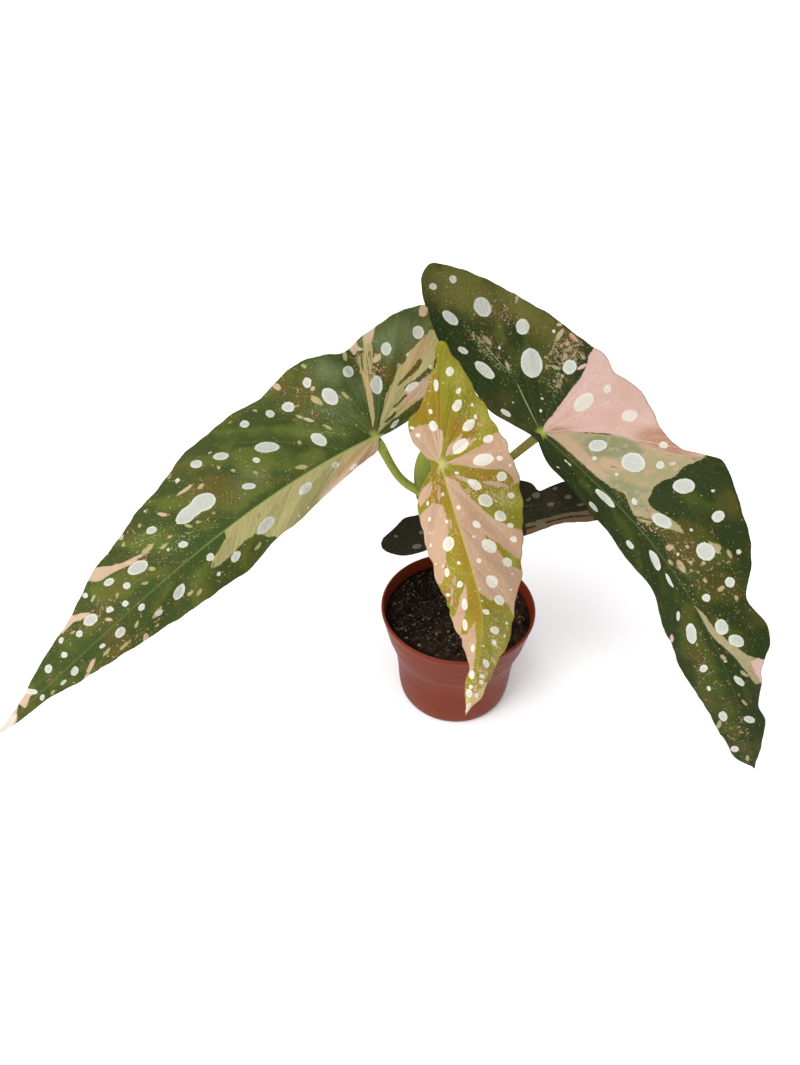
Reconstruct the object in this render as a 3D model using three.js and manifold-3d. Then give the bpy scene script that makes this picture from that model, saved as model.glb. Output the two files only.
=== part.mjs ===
// Potted polka dot begonia: a thin nursery pot full of soil, one cane with four leaf stalks, a folded
// sheath at its top, and four angel-wing leaves. Millimetres, +Z up. The origin is the centre of the
// pot's underside, and the front of the plant faces -Y.
import * as THREE from 'three';
import { mergeVertices } from 'three/addons/utils/BufferGeometryUtils.js';
import Module from 'manifold-3d';

const wasm = await Module();
wasm.setup();

// ---- Driving dimensions -------------------------------------------------------------------------
const GAP = 0.3; // clear space between touching pieces
const POT_HEIGHT = 70;
const RIM_RADIUS = 45; // a 9 cm pot
const COLLAR_Z = 50; // lower edge of the pot's collar
const COLLAR_RADIUS = 41;
const FOOT_RADIUS = 31;
const WALL = 1.0; // pot wall
const FLOOR = 3.4; // height of the pot's inner floor
const CHANNEL = 2.0; // how far the drain channel stands off the ground
const DRAIN_RADIUS = 3.2;
const DRAIN_RING = 19.5;
const DRAINS = 6;
const SOIL_Z = 64; // mean level of the soil
const SOIL_BUMP = 1.3;
const ROOT_Z = 46; // the cane's lower end, deep in the soil
const CANE_RADIUS = 4.0;
const NODE_SWELL = 0.22; // how much the cane thickens at a node
const BLADE = 0.8; // leaf thickness
const POT_SIDES = 48;
const RIB_STEPS = 26; // rows of triangles along a large leaf's midrib
const CROSS_STEPS = 7; // and from the midrib to the margin
const [CANE_STEPS, CANE_SIDES] = [32, 14];
const [STALK_STEPS, STALK_SIDES] = [12, 12];

const material = (color, roughness) =>
  new THREE.MeshStandardMaterial({ color, roughness, metalness: 0 });
const TERRACOTTA = material(0x864635, 0.45);
const SOIL = material(0x33291d, 0.95);
const STALK = material(0x7d8332, 0.4);
const SHEATH = material(0x8a8e3d, 0.45);
const LEAF = material(0x5f6636, 0.42);
const LEAF_YOUNG = material(0x8a8330, 0.42);
const LEAF_OLD = material(0x2e2f1f, 0.5);

// ---- Joining and cutting ------------------------------------------------------------------------
function toSolid(geometry) {
  const bare = geometry.clone();
  bare.deleteAttribute('normal');
  bare.deleteAttribute('uv');
  const merged = mergeVertices(bare, 1e-4);
  const position = merged.getAttribute('position').array;
  const corners = [];
  const index = merged.index.array;
  for (let i = 0; i < index.length; i += 3) {
    const [p, q, r] = [index[i], index[i + 1], index[i + 2]];
    if (p !== q && q !== r && r !== p) corners.push(p, q, r);
  }
  const mesh = new wasm.Mesh({
    numProp: 3,
    vertProperties: new Float32Array(position),
    triVerts: new Uint32Array(corners),
  });
  return new wasm.Manifold(mesh);
}

function toGeometry(solid) {
  const { vertProperties, triVerts } = solid.getMesh();
  const geometry = new THREE.BufferGeometry();
  geometry.setAttribute('position', new THREE.BufferAttribute(new Float32Array(vertProperties), 3));
  geometry.setIndex([...triVerts]);
  geometry.computeVertexNormals();
  return geometry;
}

const SLIVER = 0.01; // edges of a cut shorter than this are merged

// The largest body of a solid that a cut has left in several.
function mainBody(solid) {
  const body = solid.decompose().reduce((best, piece) => (piece.volume() > best.volume() ? piece : best));
  return body.simplify(SLIVER);
}

// A closed mesh from a list of points and a list of corner numbers.
function facets(points, corners) {
  const geometry = new THREE.BufferGeometry();
  geometry.setAttribute('position', new THREE.Float32BufferAttribute(points.flatMap((p) => p.toArray()), 3));
  geometry.setIndex(corners);
  return geometry;
}

// ---- Pot ----------------------------------------------------------------------------------------
// The wall's outer radius and height at some levels, from just above the foot to under the rim.
const POT_SIDE = [
  [34.7, 12], [35.3, 23], [36.3, 32], [37.6, 39], [39.3, 44.5], [COLLAR_RADIUS, COLLAR_Z], [43, 59],
];
const POT_INSIDE = POT_SIDE.map(([r, z]) => [r - WALL, z]);
const INNER_CORNER = [33.2, 6.2]; // where the inside of the wall bends to the floor
const INNER_FLOOR = 31.5; // radius of the floor
const FOOT_SIDE = [[FOOT_RADIUS - 1, 0], [FOOT_RADIUS + 1.6, 1.2], [34, 5.5]];
const UNDERSIDE = [[0, 0], [13, 0], [14.5, CHANNEL], [24.5, CHANNEL], [26, 0]];

// Outline of the wall from the middle of the underside, up the outside, over the rim and down inside.
function potProfile() {
  const rim = [
    [RIM_RADIUS - 0.5, POT_HEIGHT - 2.4], [RIM_RADIUS, POT_HEIGHT - 1.4],
    [RIM_RADIUS - 0.1, POT_HEIGHT - 0.4], [RIM_RADIUS - 0.7, POT_HEIGHT],
    [RIM_RADIUS - 1.4, POT_HEIGHT - 0.4],
  ];
  const inside = [...POT_INSIDE].reverse().concat([INNER_CORNER, [INNER_FLOOR, FLOOR], [0, FLOOR]]);
  const profile = UNDERSIDE.concat(FOOT_SIDE, POT_SIDE, rim, inside);
  return profile.map(([r, z]) => new THREE.Vector2(r, z));
}

// A surface turned about +Z: the lathe turns about +Y, so it is stood up.
function turned(profile, sides) {
  return new THREE.LatheGeometry(profile, sides).rotateX(Math.PI / 2);
}

function potSolid() {
  let pot = toSolid(turned(potProfile(), POT_SIDES));
  for (let i = 0; i < DRAINS; i += 1) {
    const angle = (i + 0.5) * 2 * Math.PI / DRAINS;
    const drain = new THREE.CylinderGeometry(DRAIN_RADIUS, DRAIN_RADIUS, 12, 12).rotateX(Math.PI / 2);
    drain.translate(DRAIN_RING * Math.cos(angle), DRAIN_RING * Math.sin(angle), FLOOR);
    pot = pot.subtract(toSolid(drain));
  }
  return pot;
}

// ---- Stalks: a round section carried along a curve, its radius given by a formula ---------------
function stalk(curve, radius, steps, sides) {
  const points = [];
  const frames = curve.computeFrenetFrames(steps, false);
  for (let i = 0; i <= steps; i += 1) {
    const centre = curve.getPointAt(i / steps);
    const size = radius(i / steps);
    for (let k = 0; k < sides; k += 1) {
      const angle = k * 2 * Math.PI / sides;
      points.push(centre.clone()
        .addScaledVector(frames.normals[i], size * Math.cos(angle))
        .addScaledVector(frames.binormals[i], size * Math.sin(angle)));
    }
  }
  const corners = [];
  for (let i = 0; i < steps; i += 1) {
    for (let k = 0; k < sides; k += 1) {
      const next = (k + 1) % sides;
      const [p, q] = [i * sides + k, i * sides + next];
      corners.push(p, q, q + sides, p, q + sides, p + sides);
    }
  }
  const top = steps * sides;
  for (let k = 1; k < sides - 1; k += 1) {
    corners.push(0, k + 1, k, top, top + k, top + k + 1);
  }
  return toSolid(facets(points, corners));
}

const vector = ([x, y, z]) => new THREE.Vector3(x, y, z);

// The cane leans to the left as it rises. Each node is a swelling where a leaf stalk leaves it.
const CANE_PATH = [
  [2, 4, ROOT_Z], [0, 5, 66], [-7, 6, 88], [-13, 7, 109], [-16, 8, 130], [-18.5, 9, 149],
];
const CANE_NODES = [0.4, 0.79, 0.94];
const NODE_WIDTH = 0.045;
const CANE_TIP = 0.06; // the last share of the cane, which narrows to a bud
function cane(extra) {
  const curve = new THREE.CatmullRomCurve3(CANE_PATH.map(vector), false, 'centripetal');
  const radius = (t) => {
    const swell = CANE_NODES.reduce((sum, n) => sum + Math.exp(-(((t - n) / NODE_WIDTH) ** 2)), 0);
    const close = 1 - 0.7 * Math.max((t - 1 + CANE_TIP) / CANE_TIP, 0) ** 2;
    return CANE_RADIUS * (1.08 - 0.16 * t + NODE_SWELL * swell) * close + extra;
  };
  return stalk(curve, radius, CANE_STEPS, CANE_SIDES);
}

// ---- Leaves -------------------------------------------------------------------------------------
// A leaf is drawn flat: a runs from the stalk along the midrib to the tip, b runs across, in
// millimetres. The outline goes from the notch at the stalk round the ear, along the wide side to the
// tip, and back along the narrow side. Then the flat leaf is bent onto a midrib that hangs in an arch.
//   rib      four points of the midrib's curve, from the stalk to the tip
//   face     the way the blade faces at the stalk, in the middle and at the tip
//   fold     how far each half (+b, -b) turns down from the midrib, in degrees
//   curl     how much more it turns for each millimetre across, in radians
//   lift     how much the ear turns up for each millimetre behind the stalk, in radians
//   wave     height of the waves along the margin, waves their number, phase where they start
//   shoulder, tip, heel: places in the outline where the wide side starts, the tip, and the narrow
//            side ends
const LEAVES = {
  leaf_left: {
    rib: [[-47, 12, 178], [-115, -44, 176], [-160, -92, 144], [-214, -113, 103]],
    face: [[0.2, -0.7, 0.65], [0.2, -0.72, 0.65], [0.1, -0.7, 0.7]],
    fold: [5, 28], curl: [0.004, 0.004], lift: 0.006, wave: 1.4, waves: 13, phase: 0.5,
    shoulder: 12, tip: 23, heel: 36, steps: RIB_STEPS, skin: LEAF,
    outline: [
      [-2, 2], [-11, 1], [-22, -1], [-35, -6], [-45, -16], [-55, -29], [-63, -41], [-62, -51],
      [-50, -55], [-34, -54], [-19, -51], [-8, -47], [5, -51], [23, -59], [40, -60], [60, -56],
      [78, -55], [98, -45], [118, -41], [136, -32], [154, -27], [177, -18], [201, -6], [227, 0],
      [215, 3], [200, 4], [184, 8], [167, 11], [150, 15], [130, 19], [110, 21], [92, 22],
      [75, 18], [57, 18], [39, 14], [24, 11], [11, 9], [2, 7],
    ],
  },
  leaf_right: {
    rib: [[39, 18, 176], [87, -21, 147], [100, -89, 168], [145, -98, 51]],
    face: [[-0.2, -0.65, 0.7], [-0.22, -0.68, 0.68], [0.1, -0.8, 0.6]],
    fold: [5, 50], curl: [0.003, 0.005], lift: 0.01, wave: 1.4, waves: 14, phase: 2.1,
    shoulder: 17, tip: 35, heel: 51, steps: RIB_STEPS, skin: LEAF,
    outline: [
      [-1, -4], [-14, -7], [-28, -10], [-41, -8], [-56, -5], [-71, -5], [-84, -1], [-95, 3],
      [-104, 9], [-105, 17], [-92, 26], [-75, 35], [-56, 43], [-38, 48], [-20, 49], [-3, 50],
      [12, 51], [25, 51], [41, 44], [53, 45], [65, 54], [79, 50], [91, 46], [102, 40], [112, 31],
      [122, 24], [137, 27], [148, 24], [156, 17], [167, 14], [179, 12], [188, 10], [195, 7],
      [204, 5], [212, 3], [217, 0], [211, -8], [198, -11], [188, -16], [174, -19], [158, -22],
      [144, -26], [128, -24], [113, -22], [101, -20], [88, -16], [75, -15], [61, -18], [49, -18],
      [38, -14], [25, -13], [14, -10], [5, -6],
    ],
  },
  leaf_centre: {
    rib: [[-16, -40, 197], [4, -78, 140], [12, -63, 132], [0, -71, 58]],
    face: [[0.15, -0.8, 0.6], [0.2, -0.9, 0.45], [0.15, -0.95, 0.3]],
    fold: [15, 40], curl: [0.005, 0.006], lift: 0.005, wave: 1.1, waves: 11, phase: 1.0,
    shoulder: 18, tip: 28, heel: 39, steps: 20, skin: LEAF_YOUNG,
    outline: [
      [-1, -4], [-8, -7], [-15, -10], [-22, -8], [-27, -2], [-32, 2], [-38, 6], [-45, 10],
      [-51, 11], [-50, 15], [-43, 18], [-34, 21], [-25, 24], [-14, 28], [-4, 31], [6, 33],
      [16, 36], [28, 39], [40, 38], [51, 29], [67, 25], [77, 18], [90, 19], [100, 17], [109, 12],
      [122, 11], [132, 7], [140, 4], [148, 1], [138, -2], [126, -4], [115, -5], [104, -9],
      [96, -11], [85, -18], [69, -18], [56, -21], [42, -21], [30, -19], [19, -17], [10, -13],
      [4, -8],
    ],
  },
  leaf_back: {
    rib: [[-4, 26, 110], [30, 35, 114], [75, 46, 118], [115, 50, 100]],
    face: [[0, -0.5, 0.87], [0, -0.55, 0.8], [0.1, -0.6, 0.8]],
    fold: [8, 40], curl: [0.004, 0.005], lift: -0.003, wave: 0.7, waves: 9, phase: 0.2,
    shoulder: 14, tip: 24, heel: 33, steps: 16, skin: LEAF_OLD,
    outline: [
      [0, -4], [-9, -10], [-19, -12], [-29, -12], [-37, -9], [-43, -3], [-41, 2], [-33, 6],
      [-26, 10], [-16, 10], [-7, 14], [4, 18], [15, 21], [26, 22], [37, 20], [46, 18], [53, 15],
      [56, 9], [64, 11], [74, 14], [86, 13], [98, 10], [108, 7], [117, 3], [123, 0], [112, -6],
      [100, -10], [88, -13], [75, -14], [62, -15], [49, -18], [36, -20], [22, -19], [12, -14],
      [5, -8],
    ],
  },
};

const smooth = (x) => {
  const t = Math.min(Math.max(x, 0), 1);
  return t * t * (3 - 2 * t);
};
const FOLD_RAMP = 30; // the fold grows over this length from the stalk
const WAVE_RAMP = 25; // and the margin's waves over this distance

// Bends the flat point (a, b) of a leaf into its place in the plant.
function bend(leaf, a, b) {
  const length = leaf.curve.getLength();
  const t = Math.min(Math.max(a / length, 0), 1);
  const along = leaf.curve.getTangentAt(t);
  const [base, middle, end] = leaf.face.map(vector);
  const facing = base.multiplyScalar((1 - t) ** 2)
    .addScaledVector(middle, 2 * t * (1 - t)).addScaledVector(end, t * t);
  const across = facing.cross(along).normalize();
  const up = along.clone().cross(across);
  const point = leaf.curve.getPointAt(t).addScaledVector(along, Math.max(a - length, 0));
  const turn = leaf.lift * Math.max(-a, 0);
  if (a < 0) {
    point.addScaledVector(along, -Math.sin(turn) / leaf.lift)
      .addScaledVector(up, (1 - Math.cos(turn)) / leaf.lift);
    up.multiplyScalar(Math.cos(turn)).addScaledVector(along, Math.sin(turn));
  }
  const side = b > 0 ? 0 : 1;
  const fold = THREE.MathUtils.degToRad(leaf.fold[side]) * smooth(a / FOLD_RAMP);
  const curl = leaf.curl[side];
  const reach = Math.abs(b);
  const out = (Math.sin(fold + curl * reach) - Math.sin(fold)) / curl;
  const down = (Math.cos(fold) - Math.cos(fold + curl * reach)) / curl;
  return point.addScaledVector(across, Math.sign(b) * out).addScaledVector(up, -down);
}

// Points evenly spaced along the outline between two of its numbered places, both ends included.
function marginPoints(leaf, from, to, steps) {
  const fine = 12;
  const total = leaf.outline.length;
  const walk = [];
  for (let i = 0; i <= (to - from) * fine; i += 1) {
    walk.push(leaf.margin.getPoint(((from + i / fine) / total) % 1));
  }
  const reach = [0];
  for (let i = 1; i < walk.length; i += 1) reach.push(reach[i - 1] + walk[i].distanceTo(walk[i - 1]));
  const points = [];
  let i = 0;
  for (let k = 0; k <= steps; k += 1) {
    const goal = reach[walk.length - 1] * k / steps;
    while (i < walk.length - 2 && reach[i + 1] < goal) i += 1;
    points.push(walk[i].clone().lerp(walk[i + 1], (goal - reach[i]) / (reach[i + 1] - reach[i])));
  }
  return points;
}

const TIP_VEIN = 0.4; // the line to the tip starts this share of a step before it
// One line for each side vein: where it leaves the midrib and where it meets the margin. The ear's
// lines all leave from the stalk. Lines of the two sides leave the midrib at the same places.
function veinLines(leaf) {
  const { shoulder, tip, heel, steps } = leaf;
  const length = leaf.curve.getLength();
  const total = leaf.outline.length;
  const foot = (i) => length * Math.min(i, steps - TIP_VEIN) / steps;
  const ear = marginPoints(leaf, 0, shoulder, Math.round(steps * 0.7)).map((end) => ({ start: 0, end }));
  const wide = marginPoints(leaf, shoulder, tip, steps).map((end, i) => ({ start: foot(i), end }));
  const narrow = marginPoints(leaf, tip, heel, steps).map((end, i) => ({ start: foot(steps - i), end }));
  const last = marginPoints(leaf, heel, total, 3).map((end) => ({ start: 0, end }));
  return [...ear, ...wide.slice(1), ...narrow.slice(1), ...last.slice(1, -1)];
}

// The blade: both faces are the same grid of triangles, half a thickness to each side.
function blade(leaf) {
  leaf.curve = new THREE.CubicBezierCurve3(...leaf.rib.map(vector));
  leaf.margin = new THREE.CatmullRomCurve3(leaf.outline.map(([a, b]) => new THREE.Vector3(a, b, 0)), true,
    'catmullrom', 0.5);
  const lines = veinLines(leaf);
  const count = lines.length;
  const middle = [];
  lines.forEach(({ start, end }, i) => {
    for (let k = 0; k <= CROSS_STEPS; k += 1) {
      const u = k / CROSS_STEPS;
      const a = start + (end.x - start) * u;
      const b = end.y * u;
      const point = bend(leaf, a, b);
      const ahead = bend(leaf, a + 0.5, b);
      const beside = bend(leaf, a, b + 0.5);
      const normal = ahead.sub(point).cross(beside.sub(point)).normalize();
      const wave = leaf.wave * smooth(end.length() / WAVE_RAMP) * u * u;
      const place = Math.sin(leaf.waves * 2 * Math.PI * i / count + leaf.phase);
      middle.push({ point: point.addScaledVector(normal, wave * place), normal });
    }
  });
  const row = CROSS_STEPS + 1;
  const points = [];
  for (const side of [0.5, -0.5]) {
    for (const { point, normal } of middle) {
      points.push(point.clone().addScaledVector(normal, side * BLADE));
    }
  }
  const under = middle.length;
  const corners = [];
  const outline = leaf.outline.map(([a, b]) => new THREE.Vector2(a, b));
  const leftward = THREE.ShapeUtils.area(outline) > 0;
  for (let i = 0; i < count; i += 1) {
    const next = leftward ? (i + count - 1) % count : (i + 1) % count;
    for (let k = 0; k < CROSS_STEPS; k += 1) {
      const [p, q] = [i * row + k, next * row + k];
      corners.push(p, q + 1, p + 1, p, q, q + 1);
      corners.push(under + p, under + p + 1, under + q + 1, under + p, under + q + 1, under + q);
    }
    const [p, q] = [i * row + CROSS_STEPS, next * row + CROSS_STEPS];
    corners.push(p, q, under + q, p, under + q, under + p);
  }
  return facets(points, corners);
}

// ---- Leaf stalks --------------------------------------------------------------------------------
// Each starts inside the cane and is cut to sit on it, and ends in a flat cut under its blade.
const STALKS = {
  petiole_left: { leaf: 'leaf_left', from: [-19, 8, 143], through: [-33, 9, 153], radius: 2.2 },
  petiole_right: { leaf: 'leaf_right', from: [-16, 8, 130], through: [13, 11, 155], radius: 2.0 },
  petiole_centre: { leaf: 'leaf_centre', from: [-18, 8, 144], through: [-18, -15, 171], radius: 2.1 },
  petiole_back: { leaf: 'leaf_back', from: [-7, 6, 88], through: [-7, 18, 95], radius: 1.8 },
};

const OVERSHOOT = 1.5; // how far a stalk runs past its end before the cut
function petiole({ leaf: name, from, through, radius }, extra) {
  const leaf = LEAVES[name];
  const top = bend(leaf, 0, 0);
  const ahead = bend(leaf, 0.5, 0).sub(top);
  const normal = ahead.cross(bend(leaf, 0, 0.5).sub(top)).normalize();
  if (normal.z < 0) normal.negate();
  const under = top.clone().addScaledVector(normal, -(BLADE / 2 + GAP));
  const end = under.clone().addScaledVector(normal, OVERSHOOT);
  const curve = new THREE.CatmullRomCurve3([vector(from), vector(through), end], false, 'centripetal');
  const size = (t) => radius * (1.25 - 0.5 * Math.sin(Math.PI * t) ** 0.7 + 0.05 * t) + extra;
  const slab = new THREE.BoxGeometry(12 * radius, 12 * radius, 4 * OVERSHOOT);
  slab.translate(0, 0, 2 * OVERSHOOT);
  slab.applyQuaternion(new THREE.Quaternion().setFromUnitVectors(new THREE.Vector3(0, 0, 1), normal));
  slab.translate(under.x, under.y, under.z);
  return stalk(curve, size, STALK_STEPS, STALK_SIDES).subtract(toSolid(slab));
}

// ---- Sheath at the top of the cane: two flanks folded along a keel on the left -------------------
const SHEATH_BASE = [-18, 10, 141];
const SHEATH_TIP = [-13, 13, 180];
const SHEATH_WIDTH = 12.8;
const SHEATH_OPEN = 62; // half angle between the flanks, in degrees
function sheath() {
  const [base, tip] = [vector(SHEATH_BASE), vector(SHEATH_TIP)];
  const keelWay = new THREE.Vector3(-0.96, -0.28, 0);
  const flankWay = new THREE.Vector3(0.28, -0.96, 0);
  const [rows, columns] = [12, 10];
  const points = [];
  for (const side of [0.5, -0.5]) {
    for (let i = 0; i <= rows; i += 1) {
      const t = i / rows;
      const width = SHEATH_WIDTH * (0.5 + 0.9 * t) * (1 - t ** 3) + 0.6;
      for (let k = 0; k <= columns; k += 1) {
        const v = 2 * k / columns - 1;
        const angle = THREE.MathUtils.degToRad(SHEATH_OPEN) * v;
        const reach = width + side * BLADE;
        points.push(base.clone().lerp(tip, t)
          .addScaledVector(keelWay, reach * (Math.cos(angle) - 0.12 * Math.abs(v)))
          .addScaledVector(flankWay, 0.62 * reach * Math.sin(angle)));
      }
    }
  }
  const row = columns + 1;
  const under = (rows + 1) * row;
  const corners = [];
  const quad = (p, q, r, s) => corners.push(p, q, r, p, r, s);
  for (let i = 0; i < rows; i += 1) {
    for (let k = 0; k < columns; k += 1) {
      const [p, q] = [i * row + k, (i + 1) * row + k];
      quad(p, p + 1, q + 1, q);
      quad(under + p, under + q, under + q + 1, under + p + 1);
    }
    const [p, q] = [i * row, (i + 1) * row];
    quad(p, q, under + q, under + p);
    quad(p + columns, under + p + columns, under + q + columns, q + columns);
  }
  for (let k = 0; k < columns; k += 1) {
    const last = rows * row + k;
    quad(k, under + k, under + k + 1, k + 1);
    quad(last, last + 1, under + last + 1, under + last);
  }
  return toSolid(facets(points, corners));
}

// ---- Soil: fills the pot, lumpy on top ----------------------------------------------------------
const SOIL_RINGS = 9;
const SOIL_EDGE = 5; // the soil slopes down over this distance from the wall
const SOIL_DIP = 2; // to this far below its mean level
function soilSolid() {
  const sides = POT_SIDES;
  const topRadius = POT_INSIDE[POT_INSIDE.length - 1][0];
  const bump = (x, y) => SOIL_BUMP * (Math.sin(x * 0.31 + 1) * Math.cos(y * 0.27)
    + 0.5 * Math.sin(x * 0.53 - y * 0.71) + 0.3 * Math.cos(x * 0.9 + y * 1.1));
  const points = [new THREE.Vector3(0, 0, SOIL_Z + bump(0, 0))];
  const ring = (radius, height) => {
    for (let k = 0; k < sides; k += 1) {
      const angle = k * 2 * Math.PI / sides;
      const [x, y] = [radius * Math.cos(angle), radius * Math.sin(angle)];
      points.push(new THREE.Vector3(x, y, height(x, y)));
    }
  };
  for (let i = 1; i <= SOIL_RINGS; i += 1) {
    const radius = topRadius * i / SOIL_RINGS;
    const edge = 1 - smooth((radius - topRadius + SOIL_EDGE) / SOIL_EDGE);
    ring(radius, (x, y) => SOIL_Z - SOIL_DIP * (1 - edge) + bump(x, y) * edge);
  }
  for (const [radius, z] of [...POT_INSIDE].reverse()) ring(radius - GAP, () => z);
  ring(INNER_CORNER[0] - GAP, () => INNER_CORNER[1] + GAP);
  ring(INNER_FLOOR - GAP, () => FLOOR + GAP);
  const bottom = points.length;
  points.push(new THREE.Vector3(0, 0, FLOOR + GAP));
  const corners = [];
  const ringCount = (bottom - 1) / sides;
  for (let k = 0; k < sides; k += 1) {
    const next = (k + 1) % sides;
    corners.push(0, 1 + k, 1 + next);
    const last = 1 + (ringCount - 1) * sides;
    corners.push(bottom, last + next, last + k);
    for (let i = 0; i < ringCount - 1; i += 1) {
      const [p, q] = [1 + i * sides + k, 1 + i * sides + next];
      corners.push(p, p + sides, q + sides, p, q + sides, q);
    }
  }
  return toSolid(facets(points, corners));
}

// ---- The plant ----------------------------------------------------------------------------------
const plant = new THREE.Group();
function add(name, geometry, skin) {
  const mesh = new THREE.Mesh(geometry, skin);
  mesh.name = name;
  plant.add(mesh);
}

add('pot', toGeometry(potSolid()), TERRACOTTA);
add('soil', toGeometry(mainBody(soilSolid().subtract(cane(GAP)))), SOIL);
add('stem', toGeometry(cane(0)), STALK);
for (const [name, leaf] of Object.entries(LEAVES)) add(name, toGeometry(toSolid(blade(leaf))), leaf.skin);
let around = cane(GAP);
for (const [name, design] of Object.entries(STALKS)) {
  add(name, toGeometry(mainBody(petiole(design, 0).subtract(around))), STALK);
  around = around.add(petiole(design, GAP));
}
add('stipule', toGeometry(mainBody(sheath().subtract(around))), SHEATH);

export default plant;
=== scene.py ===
# %% [markdown]
# # A potted polka dot begonia
# A frame of plain solids is loaded first, in metres, with the pot's underside at the origin. Each
# step below looks at one piece of the plant, works out its surface with numpy as a function of two
# parameters, and gives it a material that follows the surface. Every new piece stands in the place
# of the plain solid of the same name.

import math

import bmesh
import bpy
import numpy as np
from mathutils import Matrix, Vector


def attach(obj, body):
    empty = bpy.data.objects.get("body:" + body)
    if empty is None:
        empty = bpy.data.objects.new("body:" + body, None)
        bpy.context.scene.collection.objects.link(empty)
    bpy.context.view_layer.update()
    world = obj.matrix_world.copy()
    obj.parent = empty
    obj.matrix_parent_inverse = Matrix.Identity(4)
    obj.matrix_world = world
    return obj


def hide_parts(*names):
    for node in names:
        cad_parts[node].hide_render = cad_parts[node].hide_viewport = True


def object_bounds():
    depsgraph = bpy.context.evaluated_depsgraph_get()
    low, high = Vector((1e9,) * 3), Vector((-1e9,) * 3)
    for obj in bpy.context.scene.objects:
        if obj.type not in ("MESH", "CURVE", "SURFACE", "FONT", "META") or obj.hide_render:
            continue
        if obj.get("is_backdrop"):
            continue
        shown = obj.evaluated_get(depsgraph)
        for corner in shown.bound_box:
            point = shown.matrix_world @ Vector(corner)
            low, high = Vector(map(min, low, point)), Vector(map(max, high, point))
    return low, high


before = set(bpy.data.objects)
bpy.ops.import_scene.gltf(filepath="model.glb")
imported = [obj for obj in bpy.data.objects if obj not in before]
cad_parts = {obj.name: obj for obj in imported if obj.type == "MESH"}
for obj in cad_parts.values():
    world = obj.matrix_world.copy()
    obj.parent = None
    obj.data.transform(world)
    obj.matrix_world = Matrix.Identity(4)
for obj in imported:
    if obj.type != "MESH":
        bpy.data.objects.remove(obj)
cad_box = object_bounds()
MM = 0.001
print("nodes:", sorted(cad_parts))

# %% [markdown]
# ## Camera
# The photograph looks down on the plant at about 40 degrees from close by, so the pot's rim is a wide
# ellipse. The pot's outline, 9 cm across the rim, fixes how far away the camera stands. A focal length
# in pixels becomes a lens in millimetres when it is divided by the image's longer side.

# %% Camera at the photograph's angle
PHOTO_HEIGHT, FOCAL_PIXELS = 1065, 785  # its longer side and the focal length, in pixels
CAMERA_PLACE = np.array([-34.0, -325.0, 397.0])  # mm
CAMERA_TILT = 50.0  # degrees up from straight down
SENSOR = 36.0  # mm
NEAR_LIMIT = 0.01  # metres

camera_data = bpy.data.cameras.new("camera")
camera_data.sensor_width = SENSOR
camera_data.sensor_fit = "AUTO"
camera_data.lens = FOCAL_PIXELS * SENSOR / PHOTO_HEIGHT
camera_data.clip_start = NEAR_LIMIT
camera = bpy.data.objects.new("camera", camera_data)
camera.location = Vector(CAMERA_PLACE * MM)
camera.rotation_euler = (math.radians(CAMERA_TILT), 0.0, 0.0)
bpy.context.scene.collection.objects.link(camera)
bpy.context.scene.camera = camera
print("lens", round(camera_data.lens, 2), "mm")

# %% [markdown]
# ## Light and floor
# The light in the photograph is soft and comes mostly from above. A bright world lights everything
# evenly, a wide sun from the upper left gives the blades their shading, and the pale floor is large
# enough to run past the picture's edge.

# %% World, sun and soft window light
WORLD_LIGHT = 0.85
SUN_LIGHT = 2.2
SUN_WIDTH = 50.0  # degrees
WINDOW_LIGHT = 5.0
SUN_PLACE, SUN_AIM = (-0.6, -0.5, 1.4), (0, 0, 0.1)  # metres
WINDOW_PLACE, WINDOW_AIM = (-0.7, -0.6, 0.6), (0, 0, 0.12)
WINDOW_SIZE = (0.6, 0.8)
WHITE = (1.0, 1.0, 1.0, 1.0)


def linear(red, green, blue):
    """A screen colour (0-255) as the linear colour that shaders use: the sRGB curve undone."""
    screen = np.array([red, green, blue]) / 255.0
    curved = np.where(screen <= 0.04045, screen / 12.92, ((screen + 0.055) / 1.055) ** 2.4)
    return (*curved.tolist(), 1.0)


bpy.context.scene.view_settings.view_transform = "Standard"
world = bpy.data.worlds.new("studio")
bpy.context.scene.world = world
world.use_nodes = True
background = world.node_tree.nodes["Background"]
background.inputs["Color"].default_value = WHITE
background.inputs["Strength"].default_value = WORLD_LIGHT


def lamp(name, kind, energy, place, aim, **settings):
    """Links a lamp of a kind at a place in metres, turned to look at another."""
    data = bpy.data.lights.new(name, kind)
    data.energy = energy
    for key, value in settings.items():
        setattr(data, key, value)
    made = bpy.data.objects.new(name, data)
    made.location = place
    made.rotation_euler = (Vector(aim) - Vector(place)).to_track_quat("-Z", "Y").to_euler()
    bpy.context.scene.collection.objects.link(made)


lamp("sun", "SUN", SUN_LIGHT, SUN_PLACE, SUN_AIM, angle=math.radians(SUN_WIDTH))
lamp("window", "AREA", WINDOW_LIGHT, WINDOW_PLACE, WINDOW_AIM,
     shape="RECTANGLE", size=WINDOW_SIZE[0], size_y=WINDOW_SIZE[1])
print("lights:", sorted(light.name for light in bpy.data.lights))

# %% [markdown]
# ## Helpers for meshes
# Each surface is a grid of points. `make_piece` turns arrays of points and faces into a mesh with
# `foreach_set`, so no Python loop runs over the points, and stores numbers on the points that the
# materials read as attributes.

# %% From arrays to a piece
WELD_GAP = 2e-6  # metres
TINY = 1e-12


def unit(vectors):
    """Each vector divided by its length."""
    return vectors / np.maximum(np.linalg.norm(vectors, axis=-1, keepdims=True), TINY)


def smooth(x):
    """The smooth step 3x^2 - 2x^3 of x, held between 0 and 1."""
    x = np.clip(x, 0.0, 1.0)
    return x * x * (3.0 - 2.0 * x)


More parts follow.
